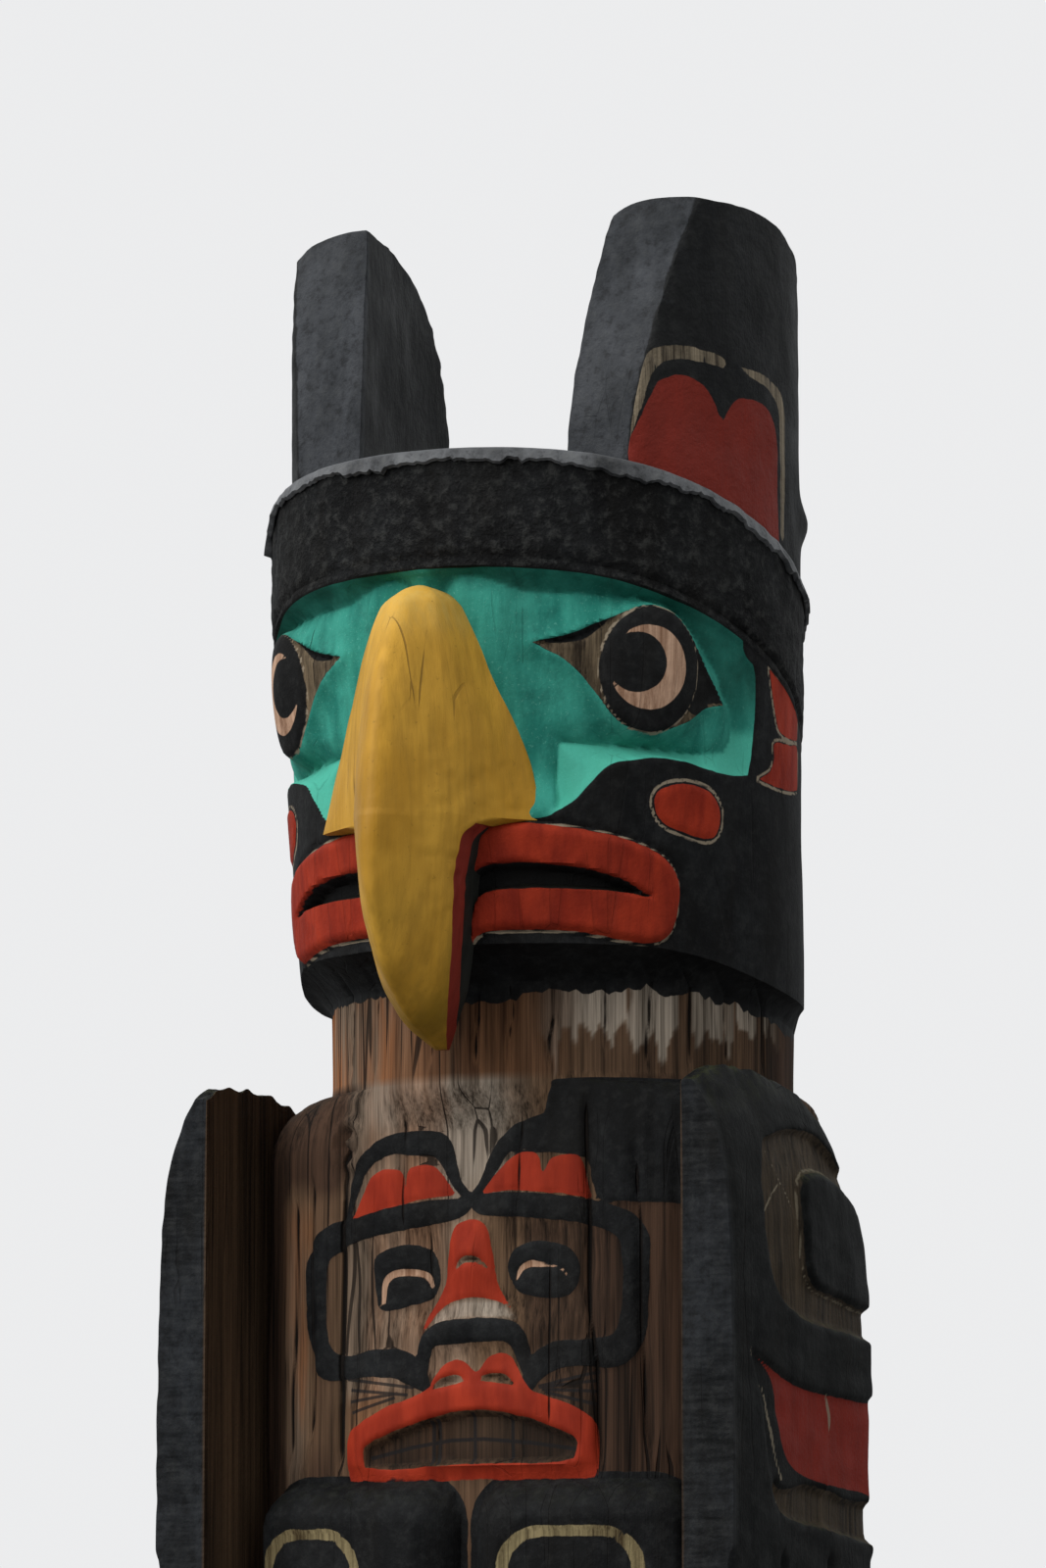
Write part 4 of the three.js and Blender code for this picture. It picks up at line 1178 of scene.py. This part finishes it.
def makeYellowMaterial():
    material, wire, shader, at = startMaterial("yellowBeakPaint")
    grain = grainOf(wire, at, 1.1, 0.25)
    patch = wire.spots(at, 7, 4, (1, 1, 0.6))
    stroke = wire.spots(at, 70, 3, (1, 1, 0.08))
    warm = wire.between(wire.fade(patch, 0.35, 0.65), ((170, 124, 34), (204, 154, 54)))
    colour = wire.blend(wire.fade(stroke, 0.35, 0.7, 0.0, 0.35), warm, paintColour(140, 104, 34))
    height = heightOf(wire, at)
    # darker towards the bottom of the beak, in patches
    tinge = wire.times(wire.fade(height, 1.72, 1.50), wire.fade(wire.spots(at, 9, 4, (1, 1, 0.5)), 0.38, 0.62))
    colour = wire.blend(wire.times(tinge, 0.6), colour, paintColour(116, 92, 26))
    # painted highlight: the top of the beak is lightened
    top = wire.times(wire.fade(height, 1.98, 2.06), wire.fade(stroke, 0.3, 0.7, 0.2, 0.6))
    colour = wire.blend(top, colour, paintColour(216, 180, 96))
    fleck = wire.fade(wire.spots(at, 120, 4, roughness=0.7), 0.62, 0.72)
    colour = wire.blend(wire.times(fleck, 0.45), colour, paintColour(112, 84, 26))
    rear = wire.field("rear")
    redStrip = coverOf(wire, at, wire.minus(beakShape["redStrip"], rear), 0.2, 0.0010)
    colour = wire.blend(redStrip, colour, wire.between(stroke, ((104, 34, 26), (140, 48, 36))))
    # painted shade: a dark strip on the beak's rear face, in the gap to the head
    rearShade = coverOf(wire, at, wire.minus(beakShape["rearShadeStrip"], rear), 0.0)
    colour = wire.blend(rearShade, colour, wire.between(stroke, ((18, 20, 18), (44, 44, 40))))
    colour = wire.blend(wire.times(grain["Check"], 0.6), colour, paintColour(92, 66, 24))
    aged = weather(wire, at, colour, 0.16)
    roughness = wire.fade(wire.plus(patch, wire.times(stroke, 0.5)), 0.3, 1.1, 0.42, 0.62)
    relief = wire.plus(wire.times(grain["Height"], 0.5), wire.times(wire.spots(at, 40, 3), 0.6))
    finishSurface(wire, shader, aged["Colour"], roughness, relief, 0.0020)
    shader.inputs["Specular IOR Level"].default_value = 0.15
    return material


beak = makeBeak()
dress(beak, "beak", makeYellowMaterial())
print("beak carved")


capShape = {"gap": 0.0003, "thickness": 0.006, "lip": 0.008, "skirt": 0.016, "columns": 480, "wrinkle": 0.0018,
            "tags": ((297, 2.6, 0.022), (303, 1.6, 0.012))}  # torn ends: degrees, half width, length


def makeCap():
    deg = np.linspace(0, 360, capShape["columns"], endpoint=False)
    turn = np.radians(deg)
    radius, forward = headShape["radius"], headShape["forward"]
    spots = np.stack([np.sin(turn), np.cos(turn), 0 * turn], -1)
    wave = 0.003 * np.sin(turn * 7) + 0.002 * np.sin(turn * 13 + 0.7)
    ragged = 0.0040 * valueNoise(spots, (0.05, 0.05, 1), 8) + 0.0035 * valueNoise(spots, (0.016, 0.016, 1), 9)
    tag = sum(long * np.exp(-((deg - place) / wide) ** 2) for place, wide, long in capShape["tags"])
    rim = crownAt(radius * np.cos(turn))
    hem = rim - capShape["skirt"] + wave + ragged - tag
    inner = radius + capShape["gap"] + 0.0005
    rings = []

    def ring(r, z):
        rings.append(np.stack([r * np.sin(turn), -forward - r * np.cos(turn), z + 0 * turn], -1))

    def under(r):
        return crownAt(r * np.cos(turn)) + capShape["gap"]

    for share in (0.1, 0.3, 0.5, 0.7, 0.85, 0.95):
        ring(radius * share, under(radius * share))
    ring(inner, under(radius))
    ring(inner, hem + 0.001)
    outer = radius + capShape["lip"] + 0.0016 * valueNoise(spots, (0.05, 0.05, 1), 12) + tag * 0.25
    ring(inner + 0.002, hem)
    ring(outer, hem + 0.003)
    for t in (0.3, 0.6, 0.85):
        ring(outer - 0.006 * t, mix(hem + 0.003, rim + capShape["thickness"], t))
    for t in (0.35, 0.7, 1.0):
        r = mix(outer - 0.005, radius - 0.006, t)
        ring(r, crownAt(r * np.cos(turn)) + capShape["thickness"] * (0.55 + 0.45 * t ** 0.5) + capShape["gap"])
    for share in np.linspace(0.97, 0.06, 34):
        r = radius * share
        place = np.stack([r * np.sin(turn), -forward - r * np.cos(turn), 0 * turn], -1)
        wrinkle = capShape["wrinkle"] * (1 + valueNoise(place, (0.05, 0.07, 1), 13)) * ease(1.0, 0.9, share)
        ring(r, crownAt(r * np.cos(turn)) + capShape["gap"] + capShape["thickness"] + wrinkle)
    return tubePiece("roofingCap", np.array(rings), {}, 45)


def makeMembraneMaterial():
    material, wire, shader, at = startMaterial("roofingMembrane")
    coat = coatOf(wire, at, ((42, 43, 45), (110, 111, 113)), 0.3, 0.8)
    # painted light: faces turned up are lightened, as if lit by the sky
    up = wire.add("ShaderNodeSeparateXYZ", {0: wire.add("ShaderNodeNewGeometry").outputs["Normal"]}).outputs[2]
    colour = wire.blend(wire.fade(up, 0.2, 0.7, 0.0, 0.5), coat["Colour"], paintColour(84, 85, 87))
    aged = weather(wire, at, colour, 0.12)
    roughness = wire.fade(wire.spots(at, 8, 4), 0.3, 0.7, 0.5, 0.7)
    finishSurface(wire, shader, aged["Colour"], roughness, coat["Height"], 0.004)
    shader.inputs["Specular IOR Level"].default_value = 0.2
    return material


cap = makeCap()
dress(cap, "crown_cap", makeMembraneMaterial())
print("cap laid")


hornShape = {"counts": (14, 56, 84), "heel": 2.225, "floorGap": 0.0066, "depth": (0.325, -0.126),
             "inner": (0.160, 0.245), "lastAngle": 129, "lean": 0.054,
             # by side: first angle, and how far the front is cut back at foot and top
             "fronts": {1: (46, 0.0, 0.0), -1: (54, 0.018, -0.003)},
             "paintTurn": {1: 0, -1: 20},
             "tops": {1: (0.020, 0.008), -1: (0.002, 0.028)}}  # fall of the top's inner and outer corners
hornPaint = {
    "lobes": [(44.0, 2262), (46.1, 2284), (48.2, 2306), (51, 2342), (53.6, 2367), (57.7, 2379), (61.8, 2378),
              (65.6, 2366), (68.6, 2342), (70.1, 2318), (70.1, 2318), (72.4, 2340), (75.2, 2357), (80, 2362),
              (85.3, 2358), (89.2, 2343), (91, 2308), (91.3, 2240), (92, 2150), (92, 2150), (70, 2150),
              (50, 2230)],
    "outline": [[(44.2, 2266, 3), (46.6, 2302, 4), (48.6, 2344, 6), (50.6, 2384, 8), (53.4, 2403, 9),
                 (59, 2412, 8), (66, 2410, 7), (71, 2406, 6)],
                [(77, 2402, 2), (83, 2397, 5), (89.6, 2388, 7), (93.6, 2366, 9), (94.2, 2320, 8), (94.2, 2250, 6),
                 (93.6, 2180, 5)]],
}


def hornOuter(t, z, start, footCut, topCut):
    top = hornBox[1].z
    turn = np.radians(mix(start, hornShape["lastAngle"], t))
    rise = np.clip((z - headShape["crown"]) / (top - headShape["crown"]), 0, 1)
    heel = 0.014 * np.exp(-((z - hornShape["heel"]) / 0.026) ** 2) * ease(0.72, 0.9, t)
    cut = mix(footCut, topCut, rise) + 0.010 + 0.014 * rise + 0.012 * rise ** 2
    r = headShape["radius"] - 0.005 - cut * (1 - t) ** 1.5 + heel
    return r * np.sin(turn), -headShape["forward"] - r * np.cos(turn)


def makeHorn(name, side):
    steps, faces = shellGrid(hornShape["counts"])
    u, v, w = steps.T
    low, top = headShape["crown"], hornBox[1].z
    f0 = mix(*hornShape["depth"], v)
    base = crownAt(f0 - headShape["forward"]) + hornShape["floorGap"]
    z = mix(base, top, 1 - (1 - w) ** 1.35)
    climb = np.clip((z - low) / (top - low), 0, 1)
    front = 0.19 * climb ** 1.4
    back = (1 - 0.93 * climb ** 4) ** 0.32
    t = mix(front, np.maximum(back, front + 0.1), v)
    innerX = mix(*hornShape["inner"], t) + 0.014 * np.sin(np.pi * t) + 0.008 * climb ** 2
    innerY = -mix(*hornShape["depth"], t)
    innerZ = z - 0.006 * climb ** 2 * (1 - t)
    outerX, outerY = hornOuter(t + hornShape["lean"] * climb ** 2 * (1 - v), z, *hornShape["fronts"][side])
    innerFall, outerFall = hornShape["tops"][side]
    cornered = climb ** 6 * (innerFall * (1 - u) ** 5 + outerFall * u ** 4)
    x, y, height = mix(innerX, outerX, u), mix(innerY, outerY, u), mix(innerZ, z, u) - cornered
    arris = ease(0.25, 0.0, np.minimum(np.minimum(u, 1 - u), 0.5)) * ease(0.15, 0.0, np.minimum(v, 1 - v))
    ragged = valueNoise(np.stack([x, y, height], -1), (0.012, 0.012, 0.016), 44 + side)
    y = y + 0.0030 * ragged * arris + 0.0045 * ragged * ease(0.9, 1.0, v)
    deg = np.degrees(np.arctan2(x, -y - headShape["forward"]))
    chart = headShape["radius"] * np.radians(deg - hornShape["paintTurn"][side])
    onFace = u > 0.93
    lobes = np.where(onFace, loopGap(chart, height, onHead(hornPaint["lobes"])), farAway)
    pale = np.full(lobes.shape, farAway)
    for line in hornPaint["outline"]:
        points = onHead([(a, b) for a, b, _ in line])
        widths = np.array([c for _, _, c in line]) / 1000 * 1.25
        pale = np.minimum(pale, strokeGap(chart, height, np.column_stack([points, widths])))
    pale = np.where(onFace, pale, farAway)
    fields = {"lobes": lobes, "pale": pale, "outer": u, "face": ease(0.08, 0.02, v)}
    verts = np.column_stack([x * side, y, height])
    if side < 0:
        faces = [face[::-1] for face in faces]
    piece = meshPiece(name, verts, faces, fields, 55)
    hew(piece, [((0.028, 0.028, 0.07), 0.0016, 50 + side), ((0.012, 0.012, 0.02), 0.0005, 60 + side)],
        lambda p: ease(0.0, 0.02, p[:, 2] - crownAt(-p[:, 1] - headShape["forward"]) - 0.008))
    soften(piece, 3)
    return piece


def makeHornMaterial():
    material, wire, shader, at = startMaterial("hornPaint")
    grain = grainOf(wire, at, 1.2, 0.15)
    cloud = wire.spots(at, 8, 5)
    paint = coatOf(wire, at, ((10, 11, 12), (24, 25, 26)), 0.05, 0.8)
    tar = coatOf(wire, at, ((38, 40, 43), (62, 64, 68)), 0.1, 1.0)
    outer = wire.field("outer")
    wobble = wire.times(wire.minus(wire.spots(at, 38, 3), 0.5), 0.12)
    wrapped = wire.fade(wire.plus(outer, wobble), 0.985, 0.955)
    colour = wire.blend(wire.times(wrapped, wire.field("face")), paint["Colour"], tar["Colour"])
    red = coverOf(wire, at, wire.field("lobes"), 0.18, 0.0014)
    brush = wire.spots(at, 34, 4, (1, 1, 0.4))
    colour = wire.blend(red, colour, wire.between(brush, ((100, 30, 22), (128, 40, 28))))
    pale = coverOf(wire, at, wire.field("pale"), 0.75, 0.0016)
    wood = wire.between(grain["Streak"], ((56, 48, 38), (146, 132, 110)))
    colour = wire.blend(wire.times(pale, 0.9), colour, wood)
    aged = weather(wire, at, colour, 0.12)
    roughness = wire.fade(cloud, 0.3, 0.7, 0.55, 0.75)
    relief = wire.plus(wire.times(grain["Height"], 0.3), tar["Height"])
    finishSurface(wire, shader, aged["Colour"], roughness, relief, 0.004)
    shader.inputs["Specular IOR Level"].default_value = 0.14
    return material


hornMaterial = makeHornMaterial()
for name, node, side in (("leftHorn", "left_horn", 1), ("rightHorn", "right_horn", -1)):
    dress(makeHorn(name, side), node, hornMaterial)
print("horns set")


wingShape = {"counts": (16, 92, 190), "front": -wingBox[0].y, "back": -wingBox[1].y, "peak": wingBox[1].z,
             "tip": wingBox[0].z, "inner": wingBox[0].x, "plank": 0.076, "belly": 0.012, "bend": 0.300,
             "feather": 0.150, "featherTop": (0.770, 0.740)}
wingDepth = {"recess": 0.014, "plate": 0.006, "step": 0.010, "groove": 0.009, "quill": 0.003}
# Outlines on the outer face: forward and up, in millimetres.
wingPaint = {
    "recess": [(268, 1309), (240, 1321), (204, 1331), (153, 1337), (90, 1334), (46, 1320), (-2, 1300),
               (-100, 1262), (-140, 1262), (-140, 1052), (-100, 1052), (10, 1061), (72, 1067), (140, 1072),
               (182, 1079), (216, 1090), (240, 1108), (268, 1142), (281, 1184), (284, 1245)],
    "pad": [(152, 1262), (138, 1274), (110, 1280), (70, 1279), (24, 1271), (-22, 1256), (-80, 1236),
            (-140, 1230), (-140, 1096), (-80, 1098), (-20, 1102), (16, 1107), (70, 1114), (119, 1121),
            (137, 1131), (148, 1152), (153, 1194), (156, 1234)],
    "plate": [(340, 1030), (340, 1030), (296, 1018), (250, 1002), (195, 989), (136, 982), (74, 978), (-25, 975),
              (-140, 972), (-140, 780), (-140, 780), (-30, 778), (40, 787), (108, 793), (198, 801), (250, 819),
              (278, 858), (296, 930), (316, 990)],
    "red": [(330, 1026), (330, 1026), (286, 1010), (240, 994), (183, 982), (117, 976), (74, 974), (-32, 970),
            (-140, 966), (-140, 846), (-15, 848), (44, 851), (108, 855), (162, 862), (197, 872), (221, 888),
            (238, 911), (254, 954), (270, 992), (300, 1012)],
    "step": [(262, 852), (236, 844), (200, 846), (160, 852), (76, 845), (10, 834), (-140, 830), (-140, 776),
             (-28, 778), (40, 787), (108, 793), (198, 801), (248, 820)],
}
wingLines = [[(240, 1301, 1.5), (212, 1266, 1.5), (184, 1241, 1.5), (169, 1221, 1.5)],
             [(214, 1256, 1.5), (243, 1233, 1.6), (262, 1215, 1.5)],
             [(294, 980, 1.5), (277, 940, 3.0), (260, 900, 3.5), (236, 856, 2.5)],
             [(289, 899, 1.5), (272, 856, 2.2), (255, 822, 1.5)],
             [(331, 1028, 2), (310, 990, 1.5), (293, 966, 1.2)],
             [(244, 1126, 3), (231, 1106, 2.4)], [(96, 975, 3), (84, 950, 5), (80, 922, 1)]]


def wingTop(f):
    bend, peak = wingShape["bend"], wingShape["peak"]
    high = peak - 0.024 * np.clip((f - bend) / 0.090, 0, 2) ** 2
    return np.where(f > bend, high, peak - 0.175 * np.clip((bend - f) / 0.360, 0, 2) ** 3)


def wingBottom(f):
    reach = (f - wingShape["back"]) / (wingShape["front"] - wingShape["back"])
    feather = np.clip(reach, 0, 0.99999) * 3
    across = (feather % 1) * 2 - 1
    return wingShape["tip"] + 0.070 * np.abs(across) ** 3 + 0.034 * (3 - feather)


def makeWing(name, side):
    steps, faces = shellGrid(wingShape["counts"])
    u, v, w = steps.T
    f = mix(wingShape["back"], wingShape["front"], v)
    low, high = wingBottom(f), wingTop(f)
    z = mix(low, high, w)
    behind = (wingShape["front"] - f) / (wingShape["front"] - wingShape["back"])
    plank = wingShape["plank"] + wingShape["belly"] * np.sin(0.62 * np.pi * behind)
    shoulder = 1 - mix(0.75, 0.25, behind) * np.exp(-(high - z) / 0.080)
    gap = {key: loopGap(f, z, inMetres(points)) for key, points in wingPaint.items()}
    sunkField = np.minimum(ease(0.003, -0.009, gap["recess"]), ease(-0.006, 0.006, gap["pad"]))
    relief = -wingDepth["recess"] * sunkField
    relief += (-wingDepth["plate"] * ease(0.002, -0.006, gap["plate"])
               - wingDepth["step"] * ease(0.002, -0.007, gap["step"]))
    half = wingShape["feather"] / 2
    feathered = ease(*wingShape["featherTop"], z)
    grooves = np.abs(((f - wingShape["back"] + half) % wingShape["feather"]) - half)
    relief += -wingDepth["groove"] * ease(0.014, 0.002, grooves) * feathered
    quill = np.abs(((f - wingShape["back"]) % wingShape["feather"]) - half)
    relief += wingDepth["quill"] * ease(0.050, 0.0, quill) * feathered
    thick = plank * shoulder + relief
    ragged = valueNoise(np.stack([f, u * 0.05, z * 0], -1), (0.018, 0.018, 1), 90 + side)
    z = z + 0.004 * ragged * ease(0.95, 1.0, w)
    x = wingShape["inner"] + thick * u
    lines = np.full(u.shape, farAway)
    for line in wingLines:
        lines = np.minimum(lines, strokeGap(f, z, inMetres(line)))
    outerFace = u > 0.97
    away = np.where(outerFace, -farAway, farAway)
    redGap = np.maximum(gap["red"], away)
    recessGap = np.maximum(np.maximum(gap["recess"], -gap["pad"]), away)
    stepGap = np.maximum(gap["step"], away)
    tip = boxGap(quill, z - 0.600, 0.030, 0.060, 0.028)
    fields = {"red": cutOff(np.minimum(redGap, np.maximum(tip, away))),
              "brown": cutOff(np.minimum(recessGap, stepGap)),
              "pale": cutOff(np.maximum(lines, away)),
              "rim": cutOff(np.maximum(np.abs(gap["pad"] - 0.004) - 0.0016, away)),
              "edge": ease(0.97, 1.0, v), "inside": ease(0.06, 0.0, u)}
    verts = np.column_stack([x * side, -f, z])
    if side > 0:
        faces = [face[::-1] for face in faces]
    piece = meshPiece(name, verts, faces, fields, 50)
    margin = wingShape["inner"] + 0.004
    hew(piece, [((0.05, 0.05, 0.022), 0.0016, 80 + side), ((0.02, 0.02, 0.05), 0.0008, 84 + side)],
        lambda p: ease(margin, margin + 0.008, np.abs(p[:, 0])))
    soften(piece, 2, 0.4)
    return piece


def makeWingMaterial():
    material, wire, shader, at = startMaterial("wingPaint")
    grain = grainOf(wire, at, 1.0, 0.35)
    cloud = wire.spots(at, 7, 5)
    paint = coatOf(wire, at, ((9, 10, 10), (20, 21, 21)), 0.05, 0.7)
    # painted reflection: the black on the front edge is lightened toward grey, as if it reflects the sky
    rim = coatOf(wire, at, ((16, 17, 18), (38, 40, 43)), 0.08, 1.0)
    colour = wire.blend(wire.field("edge"), paint["Colour"], rim["Colour"])
    brownWood = wire.between(grain["Streak"], ((22, 18, 14), (78, 66, 52)))
    inside = wire.between(grain["Streak"], ((30, 23, 18), (90, 70, 52)))
    colour = wire.blend(wire.field("inside"), colour, inside)

    def layer(name, wear, wobble):
        return coverOf(wire, at, wire.field(name), wear, wobble)

    colour = wire.blend(wire.times(layer("brown", 0.0, 0.0015), 0.9), colour, brownWood)
    red = layer("red", 0.0, 0.0008)
    brush = wire.spots(at, 34, 4, (1, 1, 0.4))
    colour = wire.blend(red, colour, wire.between(brush, ((100, 28, 20), (130, 38, 26))))
    pale = wire.larger(layer("pale", 0.5, 0.001), wire.times(layer("rim", 0.8, 0.001), 0.7))
    colour = wire.blend(wire.times(pale, 0.75), colour, paintColour(128, 118, 100))
    colour = wire.blend(wire.times(grain["Check"], 0.4), colour, paintColour(16, 14, 13))
    aged = weather(wire, at, colour, 0.2, 0.14)
    roughness = wire.fade(cloud, 0.3, 0.7, 0.58, 0.8)
    adze = wire.times(wire.spots(at, 26, 2, (0.3, 0.3, 1.6)), wire.field("edge"))
    relief = wire.plus(wire.times(grain["Height"], 0.4), paint["Height"])
    relief = wire.plus(relief, wire.times(adze, 2.5))
    finishSurface(wire, shader, aged["Colour"], roughness, relief, 0.0035)
    shader.inputs["Specular IOR Level"].default_value = 0.08
    return material


wingMaterial = makeWingMaterial()
for name, node, side in (("leftWing", "left_wing", 1), ("rightWing", "right_wing", -1)):
    dress(makeWing(name, side), node, wingMaterial)
print("wings set")
